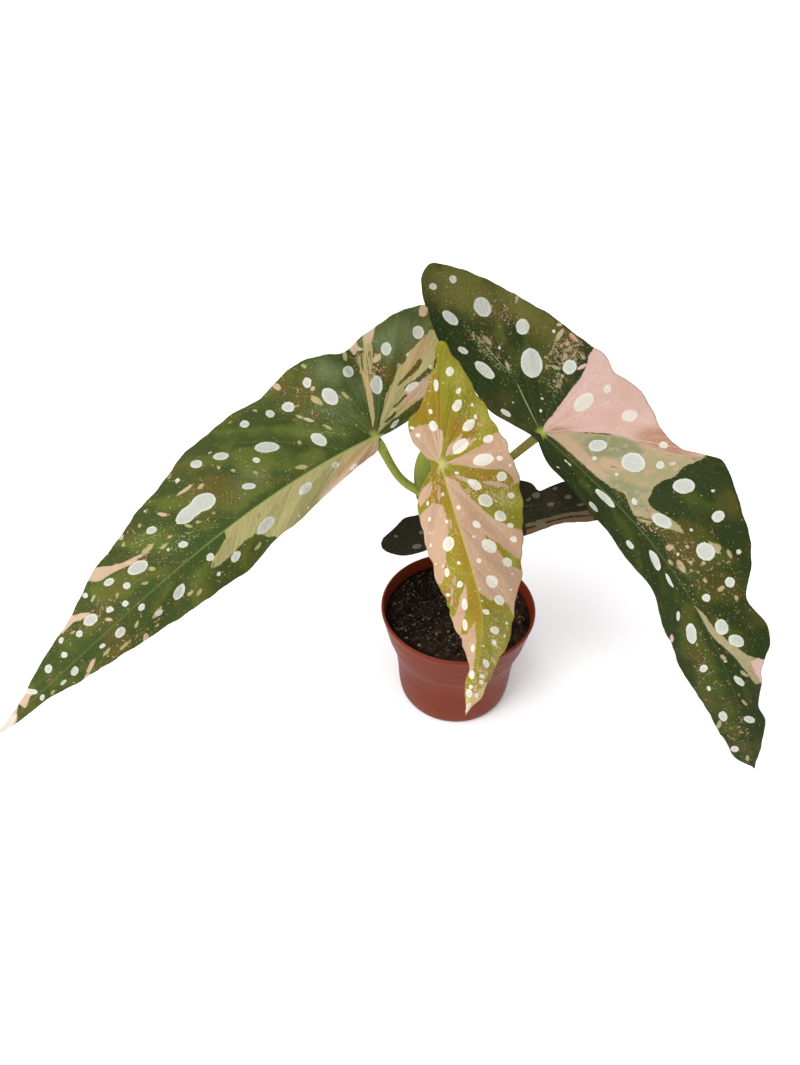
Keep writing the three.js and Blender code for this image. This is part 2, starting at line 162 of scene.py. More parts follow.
def make_piece(name, points, faces, marks=None, weld=True):
    """A smooth mesh object from points in millimetres and faces of equal length.
    marks is a dictionary of point attributes: one number or three for each point."""
    points = np.asarray(points, float).reshape(-1, 3) * MM
    faces = np.asarray(faces, int)
    sides = faces.shape[1]
    mesh = bpy.data.meshes.new(name)
    mesh.vertices.add(len(points))
    mesh.vertices.foreach_set("co", points.ravel())
    mesh.loops.add(faces.size)
    mesh.loops.foreach_set("vertex_index", faces.ravel())
    mesh.polygons.add(len(faces))
    mesh.polygons.foreach_set("loop_start", np.arange(0, faces.size, sides))
    for mark, values in (marks or {}).items():
        values = np.asarray(values, float)
        wide = values.reshape(len(points), -1).shape[1] == 3
        layer = mesh.attributes.new(mark, "FLOAT_VECTOR" if wide else "FLOAT", "POINT")
        layer.data.foreach_set("vector" if wide else "value", values.ravel())
    mesh.update(calc_edges=True)
    if weld:
        work = bmesh.new()
        work.from_mesh(mesh)
        bmesh.ops.remove_doubles(work, verts=work.verts, dist=WELD_GAP)
        work.to_mesh(mesh)
        work.free()
    mesh.polygons.foreach_set("use_smooth", np.ones(len(mesh.polygons), bool))
    mesh.validate()
    mesh.update()
    made = bpy.data.objects.new(name, mesh)
    bpy.context.scene.collection.objects.link(made)
    print(name, len(mesh.vertices), "points", len(mesh.polygons), "faces")
    return made


def grid_faces(rows, columns, wrap_rows=False, wrap_columns=False):
    """Four-cornered faces of a grid of points, row by row, with the last row or column joined to the
    first where asked. Counter-clockwise when rows go up and columns go to the right."""
    row = np.arange(rows if wrap_rows else rows - 1)
    column = np.arange(columns if wrap_columns else columns - 1)
    row, column = np.meshgrid(row, column, indexing="ij")
    above, beside = (row + 1) % rows, (column + 1) % columns
    corners = [row * columns + column, row * columns + beside, above * columns + beside,
               above * columns + column]
    return np.stack(corners, -1).reshape(-1, 4)


def many_grids(count, rows, columns):
    """The faces of many equal grids one after another, each closed round its columns."""
    one = grid_faces(rows, columns, wrap_columns=True)
    return (one + (np.arange(count) * rows * columns)[:, None, None]).reshape(-1, 4)


def walked_along(line):
    """The length walked along a line of points up to each of them."""
    return np.r_[0, np.cumsum(np.linalg.norm(np.diff(line, axis=0), axis=1))]


# %% [markdown]
# ## Helpers for materials
# A material is a tree of nodes. These short functions add a node, join its sockets and return what
# comes out, so a finish reads as a list of steps.

# %% Short names for shader nodes


def finish_tree(name):
    """A new material and its node tree and main shader."""
    material = bpy.data.materials.new(name)
    material.use_nodes = True
    return material, material.node_tree, material.node_tree.nodes["Principled BSDF"]


def plug(tree, socket, value):
    """Joins an output to a socket, or writes a plain value on it."""
    if isinstance(value, bpy.types.NodeSocket):
        tree.links.new(value, socket)
    else:
        socket.default_value = value


def mark(tree, name, part="Fac"):
    """What a point attribute holds."""
    made = tree.nodes.new("ShaderNodeAttribute")
    made.attribute_name = name
    return made.outputs[part]


def object_place(tree):
    """The point's place on the object, in metres."""
    return tree.nodes.new("ShaderNodeTexCoord").outputs["Object"]


def vector_step(tree, how, vector, other, part="Vector"):
    """One step of arithmetic on a vector."""
    made = tree.nodes.new("ShaderNodeVectorMath")
    made.operation = how
    plug(tree, made.inputs[0], vector)
    made.inputs[1].default_value = other
    return made.outputs[part]


def stretched(tree, vector, scale):
    """A vector with its three numbers multiplied."""
    return vector_step(tree, "MULTIPLY", vector, scale)


def moved(tree, vector, shift):
    """A vector with another added."""
    return vector_step(tree, "ADD", vector, shift)


def parts_of(tree, vector):
    """A vector's three numbers."""
    made = tree.nodes.new("ShaderNodeSeparateXYZ")
    tree.links.new(vector, made.inputs[0])
    return made.outputs


def noise(tree, vector, scale, detail=3.0, rough=0.55):
    """Cloudy noise around 0.5."""
    made = tree.nodes.new("ShaderNodeTexNoise")
    plug(tree, made.inputs["Vector"], vector)
    made.inputs["Scale"].default_value = scale
    made.inputs["Detail"].default_value = detail
    made.inputs["Roughness"].default_value = rough
    return made.outputs[0]


def cells(tree, vector, scale, feature="F1"):
    """Distance inside a pattern of cells."""
    made = tree.nodes.new("ShaderNodeTexVoronoi")
    made.feature = feature
    plug(tree, made.inputs["Vector"], vector)
    made.inputs["Scale"].default_value = scale
    return made.outputs["Distance"]


def sums(tree, how, first, second, third=0.0):
    """One step of arithmetic."""
    made = tree.nodes.new("ShaderNodeMath")
    made.operation = how
    for socket, value in zip(made.inputs, (first, second, third)):
        plug(tree, socket, value)
    return made.outputs[0]


def ramp(tree, value, low, high, start=0.0, end=1.0):
    """start below low, end above high, and smooth between."""
    made = tree.nodes.new("ShaderNodeMapRange")
    made.interpolation_type = "SMOOTHSTEP"
    for socket, number in zip(made.inputs, (value, low, high, start, end)):
        plug(tree, socket, number)
    return made.outputs[0]


def blend(tree, share, first, second):
    """The first colour where share is 0 and the second where it is 1."""
    made = tree.nodes.new("ShaderNodeMix")
    made.data_type = "RGBA"
    for socket, value in ((0, share), (6, first), (7, second)):  # 6 and 7 are the colour sockets
        plug(tree, made.inputs[socket], value)
    return made.outputs[2]


def relief(tree, shader, height, depth, strength=1.0):
    """Joins a height between 0 and 1 to the shader's normal; depth is in metres."""
    made = tree.nodes.new("ShaderNodeBump")
    plug(tree, made.inputs["Height"], height)
    made.inputs["Distance"].default_value = depth
    made.inputs["Strength"].default_value = strength
    tree.links.new(made.outputs[0], shader.inputs["Normal"])


def place(piece, finish, node, slot):
    """Gives a piece its material and puts it into the model: it rides on the root and replaces its
    solid. slot is not used."""
    piece.data.materials.clear()
    piece.data.materials.append(finish)
    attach(piece, "root")
    if node:
        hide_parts(node)


# %% [markdown]
# ### The floor
# It is a wide plain sheet, marked as a stage because it isn't part of the plant.

# %% Pale floor
FLOOR_HALF, FLOOR_BELOW = 12000.0, 0.05  # mm
FLOOR_COLOUR = (0.93, 0.93, 0.93, 1.0)
corner = np.array([[-1, -1], [1, -1], [1, 1], [-1, 1]]) * FLOOR_HALF
floor = make_piece("floor", np.c_[corner, np.full(4, -FLOOR_BELOW)], [[0, 1, 2, 3]], weld=False)
floor_finish, tree, shader = finish_tree("pale_floor")
shader.inputs["Base Color"].default_value = FLOOR_COLOUR
shader.inputs["Roughness"].default_value = 0.9
floor.data.materials.append(floor_finish)
floor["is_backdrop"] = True

# %% [markdown]
# ## Pot
# A nursery pot is moulded from thin plastic: a tapering wall, a straighter collar with a small step
# below it, a rolled rim, and a floor with a drain channel and holes. A turned shape is a profile
# carried round the axis. The holes are cut with one Boolean, and then the cutter is removed.

# %% The pot's profile, turned
POT_SIDE = [(34.7, 12), (35.3, 23), (36.3, 32), (37.6, 39), (39.3, 44.5)]
WALL = 1.0
outside = [(0, 0), (6, 0), (13, 0), (14.1, 0.2), (14.6, 1.8), (15.4, 2.0), (24, 2.0), (24.7, 1.8),
           (25.2, 0.2), (26, 0), (29.6, 0), (31.2, 0.25), (32.6, 1.2), (33.5, 3.2), (34.1, 6)]
collar = [(40.35, 49.2), (40.55, 49.5), (40.95, 49.75), (41.1, 50.1), (41.25, 51), (42.1, 55),
          (43.0, 59), (43.8, 63.2), (44.45, 66.9), (44.6, 67.4), (44.9, 67.7), (45.0, 68.2),
          (44.98, 69.0), (44.75, 69.6), (44.3, 69.95), (43.8, 69.85), (43.55, 69.3)]
inside = [(43.3, 68.0), (42.75, 63.2), (42.0, 59), (40.4, 51), (39.9, 49.4)]
inside += [(r - WALL, z) for r, z in reversed(POT_SIDE)]
inside += [(33.4, 7), (32.9, 5.0), (31.6, 3.6), (28, 3.4), (0, 3.4)]
POT_ROUND, SIDE_STEPS = 160, 4


def catmull_rom(p0, p1, p2, p3, t):
    """The cubic from p1 to p2 whose slope at each is half the way between its neighbours."""
    return 0.5 * (2 * p1 + (p2 - p0) * t + (2 * p0 - 5 * p1 + 4 * p2 - p3) * t ** 2
                  + (3 * p1 - p0 - 3 * p2 + p3) * t ** 3)


def curve_through(points, steps):
    """Steps points on the cubic of each stretch, and the last point."""
    points = np.asarray(points, float)
    padded = np.vstack([2 * points[0] - points[1], points, 2 * points[-1] - points[-2]])
    t = np.linspace(0, 1, steps, endpoint=False)[None, :, None]
    cubic = catmull_rom(*(padded[k:len(padded) - 3 + k][:, None] for k in range(4)), t)
    return np.vstack([cubic.reshape(-1, points.shape[1]), points[-1]])


def round_angles(count):
    """Even angles all the way round."""
    return np.linspace(0, 2 * np.pi, count, endpoint=False)


def turned(radius, height, angle):
    """A profile carried round the axis: radius times cosine, radius times sine, height."""
    return np.stack(np.broadcast_arrays(radius * np.cos(angle), radius * np.sin(angle), height), -1)


side = curve_through([outside[-1]] + POT_SIDE + [collar[0]], SIDE_STEPS)[1:-1]
profile = np.vstack([outside, side, collar, inside])
pot_points = turned(*profile.T, round_angles(POT_ROUND)[:, None])
pot_faces = grid_faces(POT_ROUND, len(profile), wrap_rows=True)
pot = make_piece("nursery_pot", pot_points, pot_faces[:, ::-1])

# %% The pot's drain holes
DRAIN_RADIUS, DRAIN_RING, DRAINS, DRAIN_SIDES = 3.2, 19.5, 6, 32
CUT_LOW, CUT_HIGH = -2.0, 7.0
radii = np.array([0, DRAIN_RADIUS, DRAIN_RADIUS, 0])[:, None]
heights = np.array([CUT_LOW, CUT_LOW, CUT_HIGH, CUT_HIGH])[:, None]
centres = turned(DRAIN_RING, 0.0, round_angles(DRAINS) + np.pi / DRAINS)
plugs = centres[:, None, None] + turned(radii, heights, round_angles(DRAIN_SIDES))
cutter = make_piece("drain_cutter", plugs, many_grids(DRAINS, len(radii), DRAIN_SIDES))
cut = pot.modifiers.new("drains", "BOOLEAN")
cut.operation = "DIFFERENCE"
cut.solver = "EXACT"
cut.object = cutter
bpy.context.view_layer.update()
drained = bpy.data.meshes.new_from_object(pot.evaluated_get(bpy.context.evaluated_depsgraph_get()))
pot.modifiers.clear()
pot.data = drained
bpy.data.objects.remove(cutter)
print("pot with drains:", len(drained.polygons), "faces")

# %% [markdown]
# The plastic is a dull reddish brown with a soft sheen. Two cloudy noises shift its colour a little,
# one broad and one stretched round the pot, because moulded plastic scuffs sideways, and a very fine
# noise roughens the surface.

# %% Terracotta-coloured plastic
pot_finish, tree, shader = finish_tree("terracotta_plastic")
where = object_place(tree)
cloud = noise(tree, where, 22.0, 4.0)
scuff = noise(tree, stretched(tree, where, (1.0, 1.0, 9.0)), 45.0, 5.0)
colour = blend(tree, ramp(tree, cloud, 0.3, 0.7), linear(98, 36, 18), linear(108, 44, 23))
colour = blend(tree, ramp(tree, scuff, 0.62, 0.8, 0.0, 0.3), colour, linear(124, 64, 44))
plug(tree, shader.inputs["Base Color"], colour)
plug(tree, shader.inputs["Roughness"], ramp(tree, scuff, 0.3, 0.8, 0.36, 0.55))
shader.inputs["Specular IOR Level"].default_value = 0.1
relief(tree, shader, noise(tree, where, 900.0, 3.0), 0.00008)
place(pot, pot_finish, "pot", "pot")

# %% [markdown]
# ## Soil
# Potting mix is a heap of crumbs. Its top is a height field on rings round the pot's axis: a sum of
# waves gives the lumps that the plain solid also has, and layers of seeded random waves give crumbs
# down to a millimetre. The side and the underside close it.

# %% Crumbly soil as a height over rings
SOIL_Z, SOIL_BUMP, SOIL_DIP, SOIL_EDGE = 64.0, 1.3, 2.0, 5.0
SOIL_RINGS, SOIL_ROUND = 120, 300
SOIL_REACH, SOIL_SLOPE = 41.9, 42.0
OCTAVES, WAVES = 7, 5
CRUMB_PITCH, CRUMB_HEIGHT = (0.9, 1.4), (0.5, 0.78)  # the first octave's, and the ratio to the next
random = np.random.default_rng(7)


def lumps(x, y):
    """The plain solid's three long waves."""
    return SOIL_BUMP * (np.sin(x * 0.31 + 1) * np.cos(y * 0.27) + 0.5 * np.sin(x * 0.53 - y * 0.71)
                        + 0.3 * np.cos(x * 0.9 + y * 1.1))


crumb_waves = [(CRUMB_PITCH[0] * CRUMB_PITCH[1] ** k, CRUMB_HEIGHT[0] * CRUMB_HEIGHT[1] ** k,
                random.uniform(0, 2 * np.pi, WAVES), random.uniform(0, 2 * np.pi, WAVES))
               for k in range(OCTAVES)]


def crumbs(x, y):
    """Seven octaves of five seeded waves each, folded by an absolute value so that they heap up."""
    total = np.zeros_like(x)
    for pitch, height, ways, starts in crumb_waves:
        wave = sum(np.sin(pitch * (x * math.cos(w) + y * math.sin(w)) + s)
                   for w, s in zip(ways, starts))
        total = total + height * np.abs(wave) / 2.2
    return total - 0.8


def soil_height(x, y):
    """Mean level, lumps and crumbs, which die out where the soil slopes down to the wall."""
    inward = 1 - smooth((np.hypot(x, y) - SOIL_SLOPE + SOIL_EDGE) / SOIL_EDGE)
    level = SOIL_Z - SOIL_DIP * (1 - inward)
    return level + lumps(x, y) * inward + crumbs(x, y) * (0.35 + 0.65 * inward)


angle = round_angles(SOIL_ROUND)[None]
top = turned(np.linspace(0, SOIL_REACH, SOIL_RINGS)[:, None], 0.0, angle)
top[..., 2] = soil_height(top[..., 0], top[..., 1])
low_rings = [(41.6, 59), (39.6, 50), (38, 44.5), (36.3, 39), (35, 32), (34, 23), (33.4, 12),
             (32.8, 6.6), (31.1, 3.8), (0, 3.8)]
low = turned(*np.array(low_rings).T[..., None], angle)
soil_points = np.concatenate([top, low])
soil_faces = grid_faces(len(soil_points), SOIL_ROUND, wrap_columns=True)
soil = make_piece("potting_soil", soil_points, soil_faces)

# %% [markdown]
# The soil's colour runs from nearly black in the hollows to a warm brown on the crumbs. The same noise
# is the bump's height, so the black in its hollows is painted shade. The pale fleck colour comes from a
# fine pattern of cells, of which only the smallest centres show. Towards the back left it is painted
# darker, as a painted shadow of the leaves above it.

# %% Dark potting mix
soil_finish, tree, shader = finish_tree("potting_mix")
where = object_place(tree)
clod = noise(tree, where, 160.0, 6.0, 0.7)
broad = noise(tree, where, 28.0, 2.0)
# Painted shade: the clod noise is also the bump's height below, so its hollows get the darkest colour.
colour = blend(tree, ramp(tree, clod, 0.35, 0.7), linear(19, 14, 9), linear(60, 44, 30))
colour = blend(tree, ramp(tree, broad, 0.35, 0.7, 0.0, 0.5), colour, linear(28, 21, 14))
fleck = ramp(tree, cells(tree, where, 420.0), 0.1, 0.2, 0.5, 0.0)
colour = blend(tree, fleck, colour, linear(88, 70, 48))
# Painted shadow of the leaves: the soil turns darker towards the back left.
x, y, _ = parts_of(tree, where)
across = sums(tree, "MULTIPLY_ADD", broad, 0.03, x)
painted_leaf_shadow = ramp(tree, sums(tree, "MULTIPLY_ADD", y, -0.6, across), -0.012, 0.04, 0.72, 0.0)
colour = blend(tree, painted_leaf_shadow, colour, linear(10, 8, 6))
plug(tree, shader.inputs["Base Color"], colour)
shader.inputs["Roughness"].default_value = 0.95
shader.inputs["Specular IOR Level"].default_value = 0.05
relief(tree, shader, clod, 0.0012)
place(soil, soil_finish, "soil", "soil")

# %% [markdown]
# ### Fibres and grains
# Fine root fibres lie curled on the mix, and pale grains sit in it. Each is one small form drawn by a
# seeded random number, and all of a kind are one mesh: hundreds of pieces with a few dozen faces each.

# %% Tubes along paths, all at once
CANE_FOOT_Y, CANE_CLEAR = 5.0, 6.5  # mm
MANY_ACROSS, ONE_ACROSS = (0.31, -0.22, 0.92), (0.12, -0.99, 0.05)  # ways that no path takes


def tubes(paths, radii, sides):
    """Round sections carried along paths. paths is (how many, points along, 3), radii (how many,
    points along). A section's two directions are the cross product of the path's slope with a fixed
    direction, and of the slope with that. Returns points and faces."""
    count, along = paths.shape[:2]
    slope = unit(np.gradient(paths, axis=1))
    fixed = np.array(MANY_ACROSS if count > 1 else ONE_ACROSS)
    first = unit(np.cross(slope, fixed))
    second = np.cross(slope, first)
    angle = round_angles(sides)[None, None, :, None]
    ring = first[:, :, None] * np.cos(angle) + second[:, :, None] * np.sin(angle)
    points = paths[:, :, None] + ring * radii[:, :, None, None]
    return points.reshape(-1, 3), many_grids(count, along, sides)


def scatter(count, reach):
    """Random places spread evenly over a disc, clear of the cane."""
    spots = random.uniform(-reach, reach, (count * 3, 2))
    spots = spots[np.hypot(*spots.T) < reach]
    return spots[np.hypot(spots[:, 0], spots[:, 1] - CANE_FOOT_Y) > CANE_CLEAR][:count]


# %% Curled fibres on the soil
FIBRES, FIBRE_POINTS, FIBRE_SIDES = 420, 9, 4
FIBRE_LENGTH, FIBRE_THICK, FIBRE_RISE = (2.0, 8.5), (0.07, 0.17), (0.1, 1.0)  # mm
FIBRE_REACH, FIBRE_END, FIBRE_LIFT, FIBRE_BEND = 38.5, 41, 0.05, 0.55
spots = scatter(FIBRES, FIBRE_REACH)
heading = random.uniform(0, 2 * np.pi, len(spots))[:, None]
bend_rate = random.normal(0, FIBRE_BEND, len(spots))[:, None]
length = random.uniform(*FIBRE_LENGTH, len(spots))[:, None]
t = np.linspace(-0.5, 0.5, FIBRE_POINTS)[None]
way = heading + bend_rate * t * 4
x = spots[:, :1] + np.cumsum(np.cos(way), 1) * length / FIBRE_POINTS
y = spots[:, 1:] + np.cumsum(np.sin(way), 1) * length / FIBRE_POINTS
keep = np.hypot(x, y).max(1) < FIBRE_END
rise = random.uniform(*FIBRE_RISE, len(spots))[:, None] * np.cos(np.pi * t) ** 2
z = soil_height(x, y) + FIBRE_LIFT + rise
paths = np.stack([x, y, z], -1)[keep]
thick = random.uniform(*FIBRE_THICK, len(paths))[:, None] * np.sqrt(np.maximum(1 - (2 * t) ** 2, 0))
points, faces = tubes(paths, thick, FIBRE_SIDES)
tone = np.repeat(random.uniform(0, 1, len(paths)), FIBRE_POINTS * FIBRE_SIDES)
fibres = make_piece("soil_fibres", points, faces, {"tone": tone})

# %% Pale grains in the soil
GRAINS, GRAIN_RINGS, GRAIN_ROUND = 330, 5, 7
GRAIN_REACH, GRAIN_LEAST, GRAIN_SPREAD, KNOB = 39.5, 0.22, (2.4, 0.17), 0.22
spots = scatter(GRAINS, GRAIN_REACH)
size = random.gamma(*GRAIN_SPREAD, len(spots))[:, None, None] + GRAIN_LEAST
polar = np.linspace(0, np.pi, GRAIN_RINGS)[None, :, None]
round_way = round_angles(GRAIN_ROUND)[None, None]
knobs = 1 + random.uniform(-KNOB, KNOB, (len(spots), GRAIN_RINGS, GRAIN_ROUND))
knobs[:, 0], knobs[:, -1] = 1.0, 1.0
x = spots[:, :1, None] + size * knobs * np.sin(polar) * np.cos(round_way)
y = spots[:, 1:, None] + size * knobs * np.sin(polar) * np.sin(round_way) * 0.8
ground = soil_height(spots[:, 0], spots[:, 1])[:, None, None]
z = ground + size * (0.25 - 0.7 * knobs * np.cos(polar)) + 0 * round_way
faces = many_grids(len(spots), GRAIN_RINGS, GRAIN_ROUND)
tone = np.repeat(random.uniform(0, 1, len(spots)), GRAIN_RINGS * GRAIN_ROUND)
grains = make_piece("soil_grains", np.stack([x, y, z], -1), faces, {"tone": tone})

# %% Finishes of the fibres and grains
for piece, dark, pale, name in ((fibres, (32, 25, 17), (84, 70, 48), "root_fibre"),
                                (grains, (38, 30, 20), (104, 86, 58), "mineral_grain")):
    finish, tree, shader = finish_tree(name)
    grain = noise(tree, object_place(tree), 1300.0, 3.0)
    tone = sums(tree, "MULTIPLY", mark(tree, "tone"), ramp(tree, grain, 0.2, 0.8, 0.6, 1.2))
    plug(tree, shader.inputs["Base Color"], blend(tree, tone, linear(*dark), linear(*pale)))
    shader.inputs["Roughness"].default_value = 0.85
    relief(tree, shader, grain, 0.0002)
    place(piece, finish, None, "soil")


# %% [markdown]
# ## Cane
# The plant grows from one jointed cane, hidden behind the middle leaf in the photograph. It is a round
# section carried along a smooth path, thicker at each node, with a fine scar ring above it.

# %% A smooth path, walked evenly
PATH_STEPS = 64


def stalk_path(points, count):
    """Centripetal Catmull-Rom: between two points a cubic in a time that is the square root of their
    distance, with slopes from the neighbours. Returns count points evenly spaced by length."""
    points = np.asarray(points, float)
    p = np.vstack([2 * points[0] - points[1], points, 2 * points[-1] - points[-2]])
    time = np.sqrt(np.linalg.norm(np.diff(p, axis=0), axis=1))[:, None]
    p0, p1, p2, p3 = p[:-3], p[1:-2], p[2:-1], p[3:]
    t0, t1, t2 = time[:-2], time[1:-1], time[2:]
    leave = ((p1 - p0) / t0 - (p2 - p0) / (t0 + t1) + (p2 - p1) / t1) * t1
    arrive = ((p2 - p1) / t1 - (p3 - p1) / (t1 + t2) + (p3 - p2) / t2) * t1
    t = np.linspace(0, 1, PATH_STEPS)[:, None, None]
    cubic = p1 + leave * t + (3 * (p2 - p1) - 2 * leave - arrive) * t ** 2
    cubic = cubic + (2 * (p1 - p2) + leave + arrive) * t ** 3
    curve = cubic.transpose(1, 0, 2).reshape(-1, 3)
    walked = walked_along(curve)
    goals = np.linspace(0, walked[-1], count)
    return np.stack([np.interp(goals, walked, curve[:, k]) for k in range(3)], -1)


# %% The cane
CANE_PATH = [(2, 4, 46), (0, 5, 66), (-7, 6, 88), (-13, 7, 109), (-16, 8, 130), (-18.5, 9, 149)]
CANE_NODES, NODE_WIDTH, CANE_RADIUS = (0.4, 0.79, 0.94), 0.045, 4.0
SCAR_ABOVE, SCAR_WIDTH, TOP_START = 0.018, 0.005, 0.94
CANE_ALONG, CANE_ROUND = 260, 40
path = stalk_path(CANE_PATH, CANE_ALONG)
t = np.linspace(0, 1, CANE_ALONG)
swell = sum(np.exp(-((t - n) / NODE_WIDTH) ** 2) for n in CANE_NODES)
scars = sum(np.exp(-((t - n - SCAR_ABOVE) / SCAR_WIDTH) ** 2) for n in CANE_NODES)
close = 1 - 0.7 * np.maximum((t - TOP_START) / (1 - TOP_START), 0) ** 2
cane_radius = (CANE_RADIUS * (1.08 - 0.16 * t + 0.22 * swell) - 0.3 * scars) * close
cane_radius[[0, -1]] = 0.0
points, faces = tubes(path[None], cane_radius[None], CANE_ROUND)
cane = make_piece("cane", points, faces, {"scar": np.repeat(scars + 0.4 * swell, CANE_ROUND)})

# %% [markdown]
# Young cane is green and ripens to brown at the nodes and the foot, with thin streaks that run along
# it and small pale pores. The streaks are a noise squeezed along the cane's height.

# %% Green jointed stalks


def stalk_finish(name, young, ripe, height):
    """Green above, brown below; scars darken it; pores are the centres of a pattern of cells."""
    finish, tree, shader = finish_tree(name)
    where = object_place(tree)
    streak = noise(tree, stretched(tree, where, (1.0, 1.0, 0.12)), 900.0, 3.0)
    cloud = noise(tree, where, 60.0, 3.0)
    low = ramp(tree, parts_of(tree, where)[2], *height, 0.75, 0.0)
    low = sums(tree, "ADD", low, mark(tree, "scar"))
    low = sums(tree, "ADD", low, ramp(tree, cloud, 0.4, 0.8, 0.0, 0.35))
    colour = blend(tree, ramp(tree, low, 0.1, 1.0), linear(*young), linear(*ripe))
    paler = (young[0] + 22, young[1] + 24, young[2] + 10)
    colour = blend(tree, ramp(tree, streak, 0.48, 0.72, 0.0, 0.55), colour, linear(*paler))
    pores = cells(tree, stretched(tree, where, (1.0, 1.0, 0.55)), 330.0)
    pores = ramp(tree, pores, 0.1, 0.22, 0.35, 0.0)
    colour = blend(tree, pores, colour, linear(176, 168, 122))
    plug(tree, shader.inputs["Base Color"], colour)
    plug(tree, shader.inputs["Roughness"], ramp(tree, streak, 0.3, 0.7, 0.36, 0.5))
    shader.inputs["Specular IOR Level"].default_value = 0.15
    shader.inputs["Subsurface Weight"].default_value = 0.08
    shader.inputs["Subsurface Radius"].default_value = (0.002, 0.003, 0.001)
    relief(tree, shader, sums(tree, "ADD", streak, pores), 0.00018)
    return finish


cane_finish = stalk_finish("green_cane", (112, 122, 60), (104, 78, 50), (0.06, 0.12))
place(cane, cane_finish, "stem", "stalk")

# %% [markdown]
# ## The shape of a leaf
# A begonia leaf is lopsided, like a wing. It is drawn flat first: *a* runs along the midrib from the
# stalk and *b* across, in millimetres. Lines go from places on the midrib to places on the margin all
# the way round, and a point on a line is one pair of numbers: which line, and how far out. The flat
# leaf is then bent onto an arching midrib. One function does this for all four leaves.
#
# In the tables, `rib` has the four points of the midrib's curve, and `face` is where the blade faces
# at its base, middle and tip. `fold` in degrees and `curl` are for the halves with b above and below
# zero, and `lift` turns the ear up. `wave`, `waves` and `phase` shape the margin. `shoulder`, `tip`,
# `heel` and `spread` number places in `outline`.

# %% The leaves' tables
LEAVES = {
    "leaf_left": dict(
        rib=[(-47, 12, 178), (-115, -44, 176), (-160, -92, 144), (-214, -113, 103)],
        face=[(0.2, -0.7, 0.65), (0.2, -0.72, 0.65), (0.1, -0.7, 0.7)],
        fold=(5, 28), curl=(0.004, 0.004), lift=0.006, wave=1.4, waves=13, phase=0.5, shoulder=12, tip=23,
        heel=36, steps=26, spread=(15, 34),
        outline=[(-2, 2), (-11, 1.4), (-23, 0), (-37, -4), (-48, -14), (-58, -28), (-65, -40.5), (-62, -51),
            (-50, -54), (-34, -53), (-19, -50), (-8, -46), (5, -50), (23, -59), (40, -58), (60, -55),
            (78, -55), (98, -43.5), (118, -41), (136, -33.6), (154, -27), (177, -18), (201, -7), (227, 0),
            (215, 3), (200, 4), (184, 8), (167, 11), (150, 14.5), (130, 17.7), (110, 19.7), (92, 21.5),
            (75, 17.7), (57, 17.2), (39, 14), (24, 11), (11, 9), (2, 7)]),
    "leaf_right": dict(
        rib=[(39, 18, 176), (87, -21, 147), (100, -89, 168), (145, -98, 51)],
        face=[(-0.2, -0.65, 0.7), (-0.22, -0.68, 0.68), (0.1, -0.8, 0.6)],
        fold=(5, 50), curl=(0.003, 0.005), lift=0.01, wave=1.4, waves=14, phase=2.1, shoulder=17, tip=35,
        heel=51, steps=26, spread=(20, 49),
        outline=[(-1, -4), (-14, -7), (-28, -10), (-41, -8), (-56, -5), (-71, -5), (-84, -1), (-95, 3.5),
            (-103.5, 9), (-104, 16.5), (-91, 25.5), (-74, 34), (-56, 41.5), (-38, 47.3), (-20, 49.3),
            (-5, 52), (4, 49.4), (20, 52), (39, 43), (53, 44), (65, 54), (78, 48.6), (90, 44.2),
            (102, 39.6), (112, 31.4), (123, 23), (138, 27.2), (148, 24), (156, 16), (167, 14.2),
            (177, 10.3), (187, 11), (195, 7), (204, 5), (212, 3), (217, 0), (211, -8), (198, -11),
            (188, -16), (174, -19), (159, -21), (147, -26), (128, -24), (113, -21.4), (101, -19.6),
            (88, -18.4), (75, -18.2), (61, -19.2), (49, -18), (38, -14), (25, -13), (14, -10), (5, -6)]),
    "leaf_centre": dict(
        rib=[(-16, -40, 197), (4, -78, 140), (12, -63, 132), (0, -71, 58)],
        face=[(0.15, -0.8, 0.6), (0.2, -0.9, 0.45), (0.15, -0.95, 0.3)],
        fold=(15, 40), curl=(0.005, 0.006), lift=0.005, wave=1.1, waves=11, phase=1.0, shoulder=18, tip=28,
        heel=39, steps=20, spread=(19, 38),
        outline=[(-1, -4), (-8, -7), (-15, -10), (-22, -8), (-27, -2), (-32, 2), (-38, 6), (-45, 10),
            (-51, 11), (-50, 15), (-43, 18), (-34, 22), (-25, 25), (-14, 28.5), (-4, 31), (6, 33), (16, 36),
            (28, 38.3), (39, 35.5), (50, 29.5), (67, 26), (77, 18.5), (90, 18.7), (99, 16.5), (109, 12),
            (122, 11), (132, 7), (140, 4), (148, 1), (138, -2), (126, -4), (115, -5), (104, -9), (96, -11),
            (85, -18), (69, -18), (56, -21), (42, -21), (30, -19), (19, -17), (10, -13), (4, -8)]),
    "leaf_back": dict(
        rib=[(-4, 26, 110), (30, 35, 114), (75, 46, 118), (115, 50, 100)],
        face=[(0, -0.5, 0.87), (0, -0.55, 0.8), (0.1, -0.6, 0.8)],
        fold=(8, 40), curl=(0.004, 0.005), lift=-0.003, wave=0.7, waves=9, phase=0.2, shoulder=14, tip=24,
        heel=33, steps=16, spread=(15, 32),
        outline=[(0, -4), (-9, -10), (-19, -12), (-29, -12), (-37, -9), (-43, -3), (-41, 2), (-33, 6),
            (-26, 10), (-16, 10), (-7, 14), (4, 18), (15, 21), (26, 22), (37, 20), (46, 18), (53, 15),
            (56, 9), (64, 11), (74, 14), (86, 13), (98, 10), (108, 7), (117, 3), (123, 0), (112, -6),
            (100, -10), (88, -13), (75, -14), (62, -15), (49, -18), (36, -20), (22, -19), (12, -14),
            (5, -8)]),
}

# %% Bending a flat leaf
FOLD_RAMP, WAVE_RAMP = 30.0, 25.0  # mm
RIB_TICKS = 600


